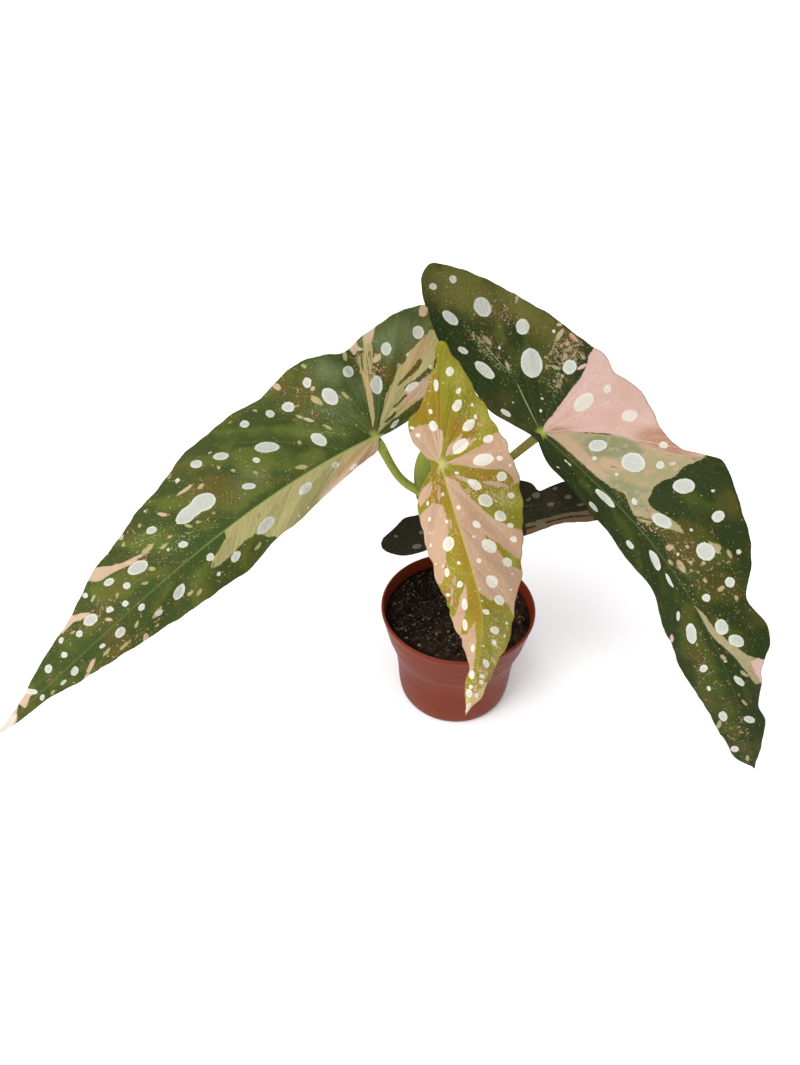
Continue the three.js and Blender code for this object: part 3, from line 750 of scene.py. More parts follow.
def rib_curve(leaf, t):
    """The cubic Bezier curve of the midrib and its slope at t."""
    p0, p1, p2, p3 = np.array(leaf["rib"], float)
    t = np.asarray(t)[..., None]
    s = 1 - t
    place_on = s ** 3 * p0 + 3 * s * s * t * p1 + 3 * s * t * t * p2 + t ** 3 * p3
    slope = 3 * (s * s * (p1 - p0) + 2 * s * t * (p2 - p1) + t * t * (p3 - p2))
    return place_on, unit(slope)


for leaf in LEAVES.values():
    leaf["ticks"] = np.linspace(0, 1, RIB_TICKS)
    leaf["walked"] = walked_along(rib_curve(leaf, leaf["ticks"])[0])
    leaf["length"] = leaf["walked"][-1]


def bend(leaf, a, b):
    """Flat (a, b) to space. The midrib point at length a; the direction across is the cross product
    of the blade's facing and the midrib's slope; each half turns down by its fold angle plus its curl
    times the distance out, which makes it an arc; behind the stalk the ear turns up along an arc."""
    a, b = np.broadcast_arrays(np.asarray(a, float), np.asarray(b, float))
    share = np.clip(a / leaf["length"], 0, 1)
    point, along = rib_curve(leaf, np.interp(share * leaf["length"], leaf["walked"], leaf["ticks"]))
    s = share[..., None]
    base, middle, end = np.array(leaf["face"], float)
    facing = (1 - s) ** 2 * base + 2 * s * (1 - s) * middle + s * s * end
    across = unit(np.cross(facing, along))
    up = np.cross(along, across)
    point = point + along * np.maximum(a - leaf["length"], 0)[..., None]
    turn = leaf["lift"] * np.maximum(-a, 0)[..., None]
    point = point - along * np.sin(turn) / leaf["lift"] + up * (1 - np.cos(turn)) / leaf["lift"]
    up = up * np.cos(turn) + along * np.sin(turn)
    fold = np.radians(np.where(b > 0, *leaf["fold"])) * smooth(a / FOLD_RAMP)
    curl = np.where(b > 0, *leaf["curl"])
    reach = np.abs(b)
    out = (np.sin(fold + curl * reach) - np.sin(fold)) / curl
    down = (np.cos(fold) - np.cos(fold + curl * reach)) / curl
    return point + across * (np.sign(b) * out)[..., None] - up * down[..., None]


def facing_of(leaf, a, b, step=0.5):
    """The blade's normal: the cross product of small steps along and across, turned upwards."""
    here = bend(leaf, a, b)
    return unit(np.cross(bend(leaf, a + step, b) - here, bend(leaf, a, b + step) - here))


# %% [markdown]
# The lines of the grid follow the side veins: `spread` names the two places in the outline where the
# foremost veins of the stalk end. The plain solid's waves are numbered along its own lines, so each
# end also gets the number it has there.

# %% Lines from the midrib to the margin


def outline_curve(leaf, fine=24):
    """The closed Catmull-Rom curve through the outline's places, and the length walked along it."""
    points = np.array(leaf["outline"], float)
    place_in = np.arange(len(points) * fine + 1) / fine
    i = np.floor(place_in).astype(int)
    t = (place_in - i)[:, None]
    curve = catmull_rom(*(points[(i + k) % len(points)] for k in (-1, 0, 1, 2)), t)
    walked = walked_along(curve)
    return curve, walked, walked[::fine]


def lines_of(leaf, step):
    """For each line its foot on the midrib, its end on the margin, the length walked along the margin
    and its number in the plain solid. The ear's lines start at the stalk, the others at even steps."""
    curve, walked, at = outline_curve(leaf)
    shoulder, heel = leaf["spread"]
    tip, total = leaf["tip"], len(leaf["outline"])
    along = round(leaf["length"] / step)
    stretches = [(0, shoulder, round((at[shoulder] - at[0]) / step)), (shoulder, tip, along),
                 (tip, heel, along), (heel, total, round((at[total] - at[heel]) / step))]
    goals = np.concatenate([np.linspace(at[a], at[b], n, endpoint=False) for a, b, n in stretches])
    j = np.arange(along)
    forward = j / along * leaf["length"]
    back = np.minimum(along - j, along - 0.4) / along * leaf["length"]
    feet = np.concatenate([np.zeros(stretches[0][2]), forward, back, np.zeros(stretches[3][2])])
    ends = np.stack([np.interp(goals, walked, curve[:, k]) for k in (0, 1)], -1)
    ear = int(leaf["steps"] * 0.7 + 0.5)
    corners = [at[k] for k in (0, leaf["shoulder"], tip, leaf["heel"], total)]
    numbers = [0, ear, ear + leaf["steps"], ear + 2 * leaf["steps"], ear + 2 * leaf["steps"] + 3]
    return feet, ends, goals, np.interp(goals, corners, numbers) / numbers[-1]


for name, leaf in LEAVES.items():
    print(name, "midrib", round(leaf["length"], 1), "mm,", len(lines_of(leaf, 1.0)[0]), "lines 1 mm apart")


# %% [markdown]
# ### Veins
# Side veins leave the midrib and run forward to the margin, forking before it. In the ear they all
# spread from the stalk. They sink on the upper face and stand out as ribs below, and the blade puffs
# up between them, which gives the leaf its soft folds.

# %% Where the veins run
EAR_SPACING, FIRST_VEIN, SHORTEST_VEIN = 0.7, 0.45, 7  # a share, a share and mm
FORK_AT, FORK_SHIFT = 8, 0.28
FAR_OFF = 99.0  # mm


def arch(first, last, lean, count=14):
    """A quadratic Bezier curve whose middle point is the halfway point shifted by lean."""
    first, last = np.asarray(first, float), np.asarray(last, float)
    t = np.linspace(0, 1, count)[:, None]
    middle = (first + last) / 2 + lean
    return (1 - t) ** 2 * first + 2 * t * (1 - t) * middle + t * t * last


def veins_of(leaf, spacing):
    """Lines of the leaf's veins in flat millimetres with half widths at their start and end."""
    feet, ends, walked, _ = lines_of(leaf, 1.0)
    gaps = np.where(feet > 0, spacing, spacing * EAR_SPACING)
    count = np.cumsum(1.0 / gaps)
    picks = np.searchsorted(count, np.arange(FIRST_VEIN, count[-1], 1.0))
    found = [(np.array([[0.0, 0.0], [leaf["length"], 0.0]]), 1.0, 0.35)]
    for pick in picks:
        foot, end = np.array([feet[pick], 0.0]), ends[pick]
        far = np.hypot(*(end - foot))
        if far < SHORTEST_VEIN:
            continue
        main = arch(foot, end, np.array([-0.05 * far, 0.0]))
        found.append((main, 0.4 + far * 0.006, 0.18))
        for shift in (-FORK_SHIFT, FORK_SHIFT):
            other = int(np.clip(pick + shift * gaps[pick], 0, len(ends) - 1))
            found.append((arch(main[FORK_AT], ends[other], np.zeros(2), 7), 0.28, 0.12))
    return found


def away_from(points, line):
    """Distance from each point to a line of straight pieces, and how far along its nearest place is."""
    start, step = line[:-1], np.diff(line, axis=0)
    offset = points[:, None] - start
    t = np.clip((offset * step).sum(-1) / np.maximum((step ** 2).sum(-1), 1e-9), 0, 1)
    gap = np.linalg.norm(offset - t[..., None] * step, axis=-1)
    nearest = gap.argmin(1)
    rows = np.arange(len(points))
    return gap[rows, nearest], (nearest + t[rows, nearest]) / len(step)


def to_veins(points, veins):
    """The smallest distance to any vein, in millimetres and in that vein's own half widths."""
    gap, share = np.full((2, len(points)), FAR_OFF)
    for line, wide, narrow in veins:
        away, along = away_from(points, line)
        gap = np.minimum(gap, away)
        share = np.minimum(share, away / (wide + (narrow - wide) * along))
    return gap, share


# %% [markdown]
# ### Spots and coloured areas
# The silver spots are ovals, each with its own place, size and turn. The pink, khaki and speckled
# parts are drawn as areas with corners. Both are kept as a distance to the edge in millimetres, so
# the material can fray the edge with noise.

# %% Distances to spots and areas
DEPTH_LIMIT = 12  # mm


def spot_depth(points, spots):
    """k is a point's distance from an oval's middle measured in half axes; (1 - k) times the root of
    the half axes' product is about the distance to its edge. The largest over all ovals."""
    a, b, long, short, turn = np.array(spots, float).T
    turn = np.radians(turn)
    x, y = points[:, :1] - a, points[:, 1:] - b
    along, aside = x * np.cos(turn) + y * np.sin(turn), y * np.cos(turn) - x * np.sin(turn)
    return ((1 - np.hypot(along / long, aside / short)) * np.sqrt(long * short)).max(1)


def area_depth(points, area):
    """Distance to an area's sides, positive inside: a ray to the right crosses an odd number."""
    ring = np.array(list(area) + [area[0]], float)
    gap = away_from(points, ring)[0]
    (x0, y0), (x1, y1) = ring[:-1].T, ring[1:].T
    x, y = points[:, :1], points[:, 1:]
    meet = x0 + (y - y0) * (x1 - x0) / np.where(y1 == y0, 1e-9, y1 - y0)
    odd = (((y0 > y) != (y1 > y)) & (x < meet)).sum(1) % 2 == 1
    return np.where(odd, gap, -gap)


def areas_depth(points, areas, holes=(), flakes=()):
    """Inside any of the areas and outside all the holes, or inside a flake, held to 12 mm."""
    depth = np.full(len(points), -float(DEPTH_LIMIT))
    for area in areas:
        depth = np.maximum(depth, area_depth(points, area))
    for hole in holes:
        depth = np.minimum(depth, -area_depth(points, hole))
    if flakes:
        depth = np.maximum(depth, spot_depth(points, flakes))
    return np.clip(depth, -DEPTH_LIMIT, DEPTH_LIMIT)


def haze_of(points, patches):
    """Each patch fades from its strength in the middle as e to the minus squared reach. The largest
    over all patches."""
    total = np.zeros(len(points))
    for a, b, long, short, turn, strength in patches:
        c, s = math.cos(math.radians(turn)), math.sin(math.radians(turn))
        x, y = points[:, 0] - a, points[:, 1] - b
        reach = ((x * c + y * s) / long) ** 2 + ((y * c - x * s) / short) ** 2
        total = np.maximum(total, strength * np.exp(-reach))
    return total


# %% [markdown]
# The tables below give the markings of each leaf as they look in the photograph, with a few more
# spots invented for the parts it hides. A spot is its place, half length, half width and the angle of
# its long axis, and so is a single flake, rosy or tawny. Khaki, pink and sage areas are given by their
# corners, and olive ones are holes in them. Soft oval patches have a strength as their last number:
# haze brings flakes, frost brings silver freckles, warm and deep shift the green, and the pale wash
# patches are painted light on parts of the blade that the scene's light leaves too dark.

# %% Markings of the left leaf
MARKINGS = {}
MARKINGS["leaf_left"] = dict(
    spots=[(-50.3, -39.9, 3.8, 3, 55), (-29.8, -38.7, 3.8, 2.7, 60), (-4.7, -35.6, 3.8, 2.9, 33),
        (-15.2, -23.5, 5.3, 3.2, 59), (9, -28.5, 5.1, 2.9, 96), (12.8, -41.9, 2.8, 1.7, 83),
        (24.3, -40.4, 4.3, 2.4, 95), (33, -43.4, 3.2, 2.1, 72), (46.5, -45.8, 3, 2.3, 71),
        (25.2, -12.8, 4.8, 2.8, 103), (47.4, -25.3, 6.2, 4.2, 130), (56.5, -21.1, 2.1, 1.6, 99),
        (66.9, -36.2, 4.2, 3.1, 119), (78.1, -41.4, 3.5, 2.6, 103), (68.3, -11.2, 3.2, 2.3, 134),
        (115.3, -26.2, 3, 2.4, 120), (109.2, -7.3, 2.3, 1.6, 144), (131.1, -14.1, 5, 3.7, 158),
        (145, -18.2, 2.6, 2.1, 148), (139.8, -10, 1.9, 1.7, 115), (157.9, -23.2, 1.8, 1.2, 123),
        (145.5, -4.2, 1.6, 1.4, 129), (152.5, -7.6, 2, 1.5, 139), (141.1, 2.3, 1.8, 1.3, 17),
        (137.5, 9.4, 1.9, 1.2, 0), (124.7, 8.4, 4, 2.1, 19), (162.2, -10.6, 3.9, 3.1, 135),
        (155.3, 4.2, 2.8, 1.9, 10), (169.5, -8.6, 2, 1.6, 111), (178.7, -13.4, 1.8, 1.4, 91),
        (164.9, 3.3, 1.5, 1, 170), (180.7, -6.1, 1.8, 1.4, 132), (190.2, -6.1, 2.2, 1.9, 100),
        (181.5, 3.1, 2.4, 1.5, 23), (188.7, 3.4, 1.7, 0.8, 179), (47.4, 5.9, 4.2, 2, 9),
        (74.1, 9.5, 5.6, 2.5, 9), (103.9, 5.3, 1.9, 1.6, 22), (94.6, 12.6, 3.1, 1.8, 15),
        (105.9, 13.7, 1.3, 0.9, 24), (27.1, 3.6, 2.3, 1.4, 174), (-13.8, -1.4, 3.3, 1, 17),
        (-32, -15, 4.2, 1.8, 6), (90.5, -39.5, 1.7, 1.3, 51), (57.8, 15, 1, 0.5, 149),
        (115.6, -10.6, 1, 0.7, 63), (51.1, 14.4, 0.9, 0.6, 9), (-46.2, -20.1, 1.4, 0.8, 35),
        (-39, -31.4, 1, 0.8, 49), (111.6, -38.4, 1.1, 0.8, 88), (88.8, -19, 5.8, 4.6, 150),
        (99, -19.8, 5.6, 4.1, 0), (94, -19.6, 4.4, 3.7, 0), (203, -4, 4, 1.2, 135), (200, 2, 1.5, 1, 30),
        (19, 9, 2.5, 1.2, 10), (222, 0, 7.5, 2.4, 0)],
    khaki=[
        [(0, 0), (91, 0), (93, 3), (98, 5), (104, 7), (107, 9.3), (103, 11), (95, 10.8), (88, 9.6),
         (81, 9.6), (78, 12), (76.5, 15), (73.5, 16), (73, 20), (55, 21), (30, 18), (0, 13), (-9, 9),
         (-10, 1.6), (-3, 0.6)],
        [(-3, -1), (-12, -3.5), (-22, -5), (-33, -7), (-38, -8), (-62, -36), (-57, -38.5), (-51, -36),
         (-44, -33.5), (-38, -31.5), (-37, -29), (-33, -27.5), (-32, -30), (-29, -25.5), (-24, -21.5),
         (-17, -17), (-10, -9)],
        [(-1, -4), (-4, -12), (-8, -22), (-10, -29), (-12, -36), (-14, -42), (-17, -41), (-15, -33),
         (-14, -28), (-9, -17), (-5, -8)],
        [(-16, -31), (-20, -35), (-26, -47), (-35, -57), (-27, -57), (-20, -45), (-15, -36)]],
    olive=[
        [(-44, -27), (-40, -25), (-34, -22.4), (-26, -19.6), (-25, -18.2), (-33, -20), (-40, -21.8),
         (-44.6, -25)],
        [(-47, -17.5), (-38, -15.6), (-28, -15.2), (-28, -16.6), (-38, -18), (-45, -20)],
        [(-28, -11.6), (-18, -8.6), (-17, -9.4), (-27, -12.9)],
        [(-18, -5.6), (-10, -3.6), (-8, -4.4), (-17, -7)],
        [(-35, -2), (-20, -1), (-8, -0.4), (-8, -2), (-20, -4.2), (-35, -6)]],
    pink=[
        [(-5, 2), (0, 3.5), (8, 6), (20, 7.6), (30, 8.5), (38, 11), (44, 13.5), (42, 18), (28, 15),
         (10, 11), (0, 9)],
        [(-31, -57), (-35, -57), (-26, -46), (-22, -46), (-24, -51)],
        [(-20, -43), (-17, -44.5), (-13, -43), (-12, -52), (-20, -52), (-18, -47)],
        [(-63, -52), (-60, -47.5), (-57, -46), (-55, -48), (-57, -51), (-60, -54)],
        [(-40, -9), (-32, -7.5), (-25, -8.5), (-23, -10.5), (-30, -13.5), (-40, -16), (-43, -13)],
        [(125, -17.4), (132, -17.8), (140, -21), (147, -22), (150, -24.5), (153, -28), (147, -31),
         (144, -28.5), (140, -25), (135, -22), (129, -20)],
        [(160, -13.5), (166, -14.6), (170, -17), (177, -16.5), (177, -20), (170, -23), (168, -19.8),
         (164, -17.5)],
        [(200, -0.5), (203, -4), (205, -8), (214, -6), (211, -3), (209, 0.5), (206.5, -0.5), (204, -2.6)],
        [(212.5, -3), (214.5, 1), (218, 4), (230, 0), (215, -6)]],
    rosy=[(91, -31.7, 4.2, 1.1, 0), (84.6, -27.6, 2.1, 1.3, 30), (106.5, -29.5, 3.2, 1, 118),
        (68.8, -43.8, 1.4, 1, 60), (72, -30.6, 1.4, 0.8, 80), (21.5, -56, 3.6, 1, 95),
        (22, -25.6, 3, 0.9, 112), (149.5, 13.8, 1.9, 1.2, 40), (174.8, 6.3, 4, 0.9, 18),
        (180, 8.6, 2.4, 0.9, 20), (155.4, -4, 2, 0.9, 125), (-23, -36.3, 3.4, 1.6, 20),
        (128, -36, 1.6, 1.4, 60), (12.6, -37.6, 1.1, 0.8, 90)],
    tawny=[(42.2, -4, 3, 1.1, 150), (17.8, -15.2, 3, 0.9, 112), (14.4, -31.5, 4, 1.2, 100),
        (24, -31, 2.4, 0.7, 105), (33.7, -17.4, 1.9, 0.9, 70), (3, -25, 2.6, 0.9, 105),
        (101.6, -14, 2.6, 1, 112), (97, -12.8, 1.4, 1, 90), (116, -13.4, 2.4, 0.9, 0),
        (122.4, -18.2, 3.2, 1.5, -5), (126.6, -8.6, 2, 1, 115), (129.4, -30.4, 1.7, 1.1, 80),
        (155.6, -18.4, 1.7, 1, 20), (158, 9.8, 3.2, 0.7, 0), (138, 8.8, 3, 1, 15), (83, 15.4, 2.4, 0.8, 15),
        (118, 14.2, 1.8, 0.8, 20), (121.4, 12, 1.6, 0.7, 0), (165.6, 6.5, 2.2, 0.7, 10),
        (-8, -44, 2.6, 1.3, 60), (12.2, -42, 1.6, 0.6, 90), (111, -15, 1.2, 0.8, 0), (68, -24, 2, 0.9, 110),
        (61, -16, 1.4, 0.7, 120), (89, -11, 1, 0.7, 30), (142, 13, 1.4, 0.7, 10), (133, -5, 1.6, 0.7, 150),
        (146, -9.8, 1.2, 0.8, 30), (118, -34, 1.6, 0.9, 60), (91.8, -45, 2, 0.8, 40), (58, -33, 1, 0.6, 60),
        (37, -51, 1.5, 0.8, 90), (10, -50, 1.8, 0.7, 100), (51, -52, 1, 0.7, 40), (172, -12, 1.5, 0.8, 140),
        (195, 3.4, 1.6, 0.7, 10), (148, 6.5, 1.5, 0.6, 20)],
    haze=[(-17, -35, 10, 13, 0, 0.95), (-34, -12, 14, 8, 20, 0.6), (20, -38, 9, 22, 0, 0.5),
        (80, -27, 26, 8, -10, 0.4), (62, -10, 14, 5, -25, 0.3), (125, -14, 26, 12, -10, 0.4),
        (165, -12, 26, 7, -15, 0.55), (150, 10, 40, 4, 0, 0.45), (100, -45, 30, 6, 20, 0.4)],
    warm=[(-42, -27, 16, 5, 35, 1.0), (-30, -10, 14, 4, 15, 0.8), (-10, -22, 14, 4, 65, 1.0),
        (12, 6, 20, 6, 10, 1.1), (82, -24, 26, 8, -12, 0.7), (18, -42, 8, 20, 0, 0.7),
        (62, -7, 16, 4, -20, 0.6), (-30, -32, 10, 5, 30, 0.4), (104, -31, 14, 7, -30, 0.3),
        (70, -46, 16, 6, 0, 0.2)],
    deep=[(25, -9, 26, 5, -20, 0.9), (62, -24, 18, 4, -25, 0.6), (-9, -14, 12, 5, 55, 0.7),
        (36, -38, 12, 10, 70, 0.5), (112, 4, 24, 4, 10, 0.5), (125, 12, 34, 7, -5, 0.5)],
    painted_light_wash=[(-38, -42, 18, 12, 10, 1.0), (-6, -25, 7, 13, 10, 0.9), (3, -38, 9, 10, 0, 0.8),
        (-20, -50, 12, 10, 0, 0.7), (10, -26, 16, 16, 0, 0.55), (66, -16, 24, 10, -20, 0.4)],
    frost=[(106, -9, 16, 6, 0, 0.8), (118, -24, 14, 8, -20, 0.8), (75, -12, 16, 5, -20, 0.6),
        (13, -10, 8, 6, 0, 0.6), (10, -20, 16, 10, 80, 0.45)],
    sage=[])
print("leaf_left spots:", len(MARKINGS["leaf_left"]["spots"]))

# %% Markings of the right leaf
MARKINGS["leaf_right"] = dict(
    spots=[(-90.1, 19.6, 2.3, 1.8, 20), (-95, 10, 2.4, 1.6, 34), (-68.1, 22.6, 5.6, 4.1, 4),
        (-76.3, 7.1, 5.2, 2.4, 9), (-45, 32.1, 4, 3.7, 113), (-28.9, 22.4, 7.6, 5.6, 143),
        (-59.3, 1.3, 3.1, 1.5, 20), (-44.1, 2.6, 6.4, 2.7, 6), (-20.7, -5, 3.3, 1.2, 10),
        (-13.4, 34.6, 3.9, 3.4, 109), (4.2, 26.3, 6, 3.6, 87), (7.6, 39.9, 2.5, 1.8, 97),
        (23.9, 37.3, 4.1, 3.1, 76), (24.7, 14.6, 4.6, 3.2, 56), (42.7, 20.5, 5.6, 5.1, 21),
        (51.7, 29.1, 2.2, 1.8, 119), (66.1, 30, 5.1, 3.9, 70), (75, 39.3, 1, 0.8, 88),
        (73.6, 10.5, 5, 3.3, 16), (85.5, 33.6, 3.3, 2.4, 93), (96, 17.6, 4.3, 4, 6),
        (103.3, 31.1, 1.4, 1.1, 114), (112.9, 19.6, 2.4, 2.2, 154), (114, 6.4, 1.9, 1.8, 7),
        (129, 6.2, 3.7, 3, 173), (137.6, 9.4, 4, 2.7, 41), (46.9, -2.4, 6.7, 2.1, 3),
        (43.8, -12.6, 3.4, 2, 179), (72, -10.6, 2.8, 1.8, 178), (116.9, -11.3, 3, 1.1, 149),
        (127.7, -8.9, 6.1, 2.7, 156), (160.2, -11.4, 1.8, 1.1, 152), (157.4, 3.9, 3.9, 1.5, 24),
        (179.5, -9.6, 4.2, 2.2, 151), (-31.8, 42.3, 1.1, 1, 178), (-46.6, 15.7, 1.1, 0.8, 141),
        (42.3, 10.2, 1.1, 0.9, 134), (58.1, 7.1, 2, 1.2, 160), (145, 1.4, 1, 0.5, 63),
        (18.9, -2.1, 1, 0.5, 0), (21.4, -2.1, 1.3, 0.5, 2), (17.7, -7.4, 1, 0.6, 33),
        (196.9, -11.8, 3.1, 0.7, 20), (84.5, 18.5, 0.8, 0.7, 154), (-68.3, 16.8, 0.8, 0.6, 147),
        (-12.5, 13.3, 0.9, 0.7, 11), (96.6, 9.1, 0.8, 0.6, 72), (-8.4, 8.1, 0.9, 0.7, 115),
        (90.7, 6.6, 0.9, 0.8, 95), (-21.8, 1.4, 0.9, 0.6, 28), (86.8, -4.4, 5.5, 2.3, 166),
        (99, -4.3, 4, 0.9, 173), (148, -10.5, 3, 1.7, 125), (181, 3, 3.6, 1.7, 40),
        (202, -7.5, 2.6, 1.8, 160), (45, 38, 2.2, 1.8, 70), (28.2, 8.8, 1.2, 1.1, 67)],
    pink=[
        [(0, 0.6), (-2, 4), (-2.6, 11), (-4.6, 25), (-5.6, 35), (-8, 42), (-10.5, 45), (-11.5, 52), (0, 54),
         (20, 54), (35, 50), (50, 46), (60, 55), (60, 48), (56.5, 43.6), (51, 38.6), (45, 35), (38, 31),
         (30, 27.4), (22, 21.4), (17, 17), (10, 9.4)],
        [(150, 12), (155, 12.4), (160, 13), (167, 14.6), (163, 18), (155, 21), (150.5, 16)]],
    khaki=[
        [(0, 0), (3, 1.4), (8, 2.3), (20, 2.6), (38, 2.6), (46, 4), (52, 6.4), (58, 4.4), (62, 2.6),
         (69, 3), (71, 5), (71, 7.5), (77, 9), (81, 12), (84.5, 14.6), (80, 15.6), (75, 14.6), (69, 12),
         (65, 11.4), (61.5, 12), (60.5, 15), (58.6, 18), (58.6, 25), (60.2, 30), (58.6, 37), (60, 42),
         (61, 50), (50, 40), (30, 28), (10, 10)],
        [(115, 0), (128, 0), (133, 1), (138, 3), (145, 6), (156, 9), (164, 11.5), (166, 17), (155, 20),
         (150, 15), (146, 11), (140, 8), (134, 5), (127, 2.6), (121, 2)],
        [(91.5, 21.5), (94, 22.4), (96, 25), (98, 25), (100, 22), (98, 20.4)]],
    rosy=[(-56.5, 39.6, 3, 0.9, 118), (-22.5, 47, 3, 1.2, 0), (-9, 39, 3.4, 0.9, 75), (-32, 47, 1.8, 1, 60),
        (129.6, -22.6, 3.2, 1, -30), (54.6, 34, 1.6, 1, 80), (-88, 0, 2.6, 0.8, -40)],
    tawny=[(-16, 5.7, 14, 0.22, 160), (-46, 11, 16, 0.2, 178), (-28.4, 42.6, 4.6, 1.2, 100),
        (-17, 41, 3, 1.3, 95), (-18.4, 29.4, 3, 1, 25), (-54, 13.6, 3, 1.2, 5), (-37, 12.4, 2.6, 0.9, -25),
        (102, 26.4, 2.2, 1, -20), (113.6, 14.6, 1.9, 1, 95), (86, 5.4, 1.9, 1.5, 60),
        (96, 4.5, 3.2, 1.4, -5), (120.8, 19, 1.3, 0.9, 0), (187, -13.2, 4, 1, -25),
        (208, -2.4, 3, 0.8, -10), (-13, 28.6, 1.4, 0.9, 20), (-25, 34, 2.4, 1, 80),
        (142.6, 1, 1.8, 0.9, 20), (155, 7.4, 2.6, 0.9, 30), (-20, 37, 2, 1, 60), (-12, 43, 1.5, 0.9, 0),
        (-23, 42, 1.6, 0.8, 30), (107, 10, 1.2, 0.8, 0), (90, 12, 1, 0.7, 20), (170, 3, 2.4, 0.7, 20),
        (100, 14, 0.9, 0.7, 0), (92, 1.5, 1.6, 0.8, 0)],
    sage=[
        [(17, 5), (20, 9), (19, 14), (22, 20), (30, 25.4), (38, 29.4), (42, 27), (38, 22), (35, 16),
         (31, 13.4), (27, 9), (26, 6)],
        [(40, 5), (46, 9.6), (55, 13), (58, 16), (57, 10), (66, 8.6), (60, 5.6), (52, 7.4), (45, 4)],
        [(-3, 14), (-2, 22), (-3.4, 31), (-5.4, 38), (-8, 42), (-8, 33), (-6.6, 25), (-5.4, 16)]],
    haze=[(-19, 38, 10, 12, 0, 1.1), (-60, 28, 26, 8, 20, 0.65), (-52, 12, 16, 6, 0, 0.7),
        (-14, 26, 8, 5, -50, 0.8), (98, 8, 20, 9, 0, 0.6), (108, 22, 18, 8, -10, 0.5),
        (72, 5, 12, 5, 0, 0.8), (150, -12, 26, 6, -10, 0.5), (190, -4, 26, 8, -10, 0.45),
        (125, 16, 16, 6, 0, 0.35)],
    warm=[(-72, 27, 26, 8, 24, 1.1), (-42, 38, 18, 9, 10, 1.0), (-24, 44, 10, 6, 0, 0.9),
        (-95, 12, 10, 8, 0, 0.7), (100, 14, 24, 14, 0, 0.9), (112, 22, 16, 8, 0, 0.7),
        (150, -14, 30, 7, -10, 0.5), (190, -8, 24, 8, 0, 0.4), (85, 38, 14, 8, -20, 0.6),
        # The patch at (45, 39) is painted shade: the pink lobe folds down there and its lower side turns
        # from the light.
        (45, 39, 15, 8, 30, 1.3), (135, 22, 12, 5, 0, 0.5), (18, 5, 24, 3.4, 0, 1.3),
        (37, 12, 8, 4, 30, 1.2), (6, 6, 9, 5, 50, 1.2), (52, 38, 10, 3, 35, 0.7)],
    deep=[(64, 22, 12, 12, 0, 1.0), (-20, 8, 26, 6, -8, 0.5), (-60, -2, 30, 6, 0, 0.3),
        (60, 0, 60, 2, 0, 0.7), (150, 0, 20, 6, 0, 0.5), (80, 34, 16, 12, 0, 0.6), (-4, 12, 5, 12, 80, 0.6),
        (175, -2, 30, 8, 0, 0.3)],
    painted_light_wash=[(-80, 22, 30, 13, 20, 1.0), (-98, 12, 12, 12, 0, 0.8), (-52, 38, 24, 9, 14, 1.0),
        (-40, 20, 26, 8, 10, 0.45)],
    frost=[(-52, 9.6, 26, 2.2, -2, 1.1), (-36, 13, 6, 2.6, -30, 0.9), (-13, 25, 11, 2, -52, 1.0),
        (-90, 16, 12, 2.4, 0, 0.6), (-8, 14, 12, 5, -60, 0.5), (60, 3.4, 20, 1.8, 0, 0.6),
        (100, 0, 30, 6, 0, 0.4)],
    olive=[])
print("leaf_right spots:", len(MARKINGS["leaf_right"]["spots"]))

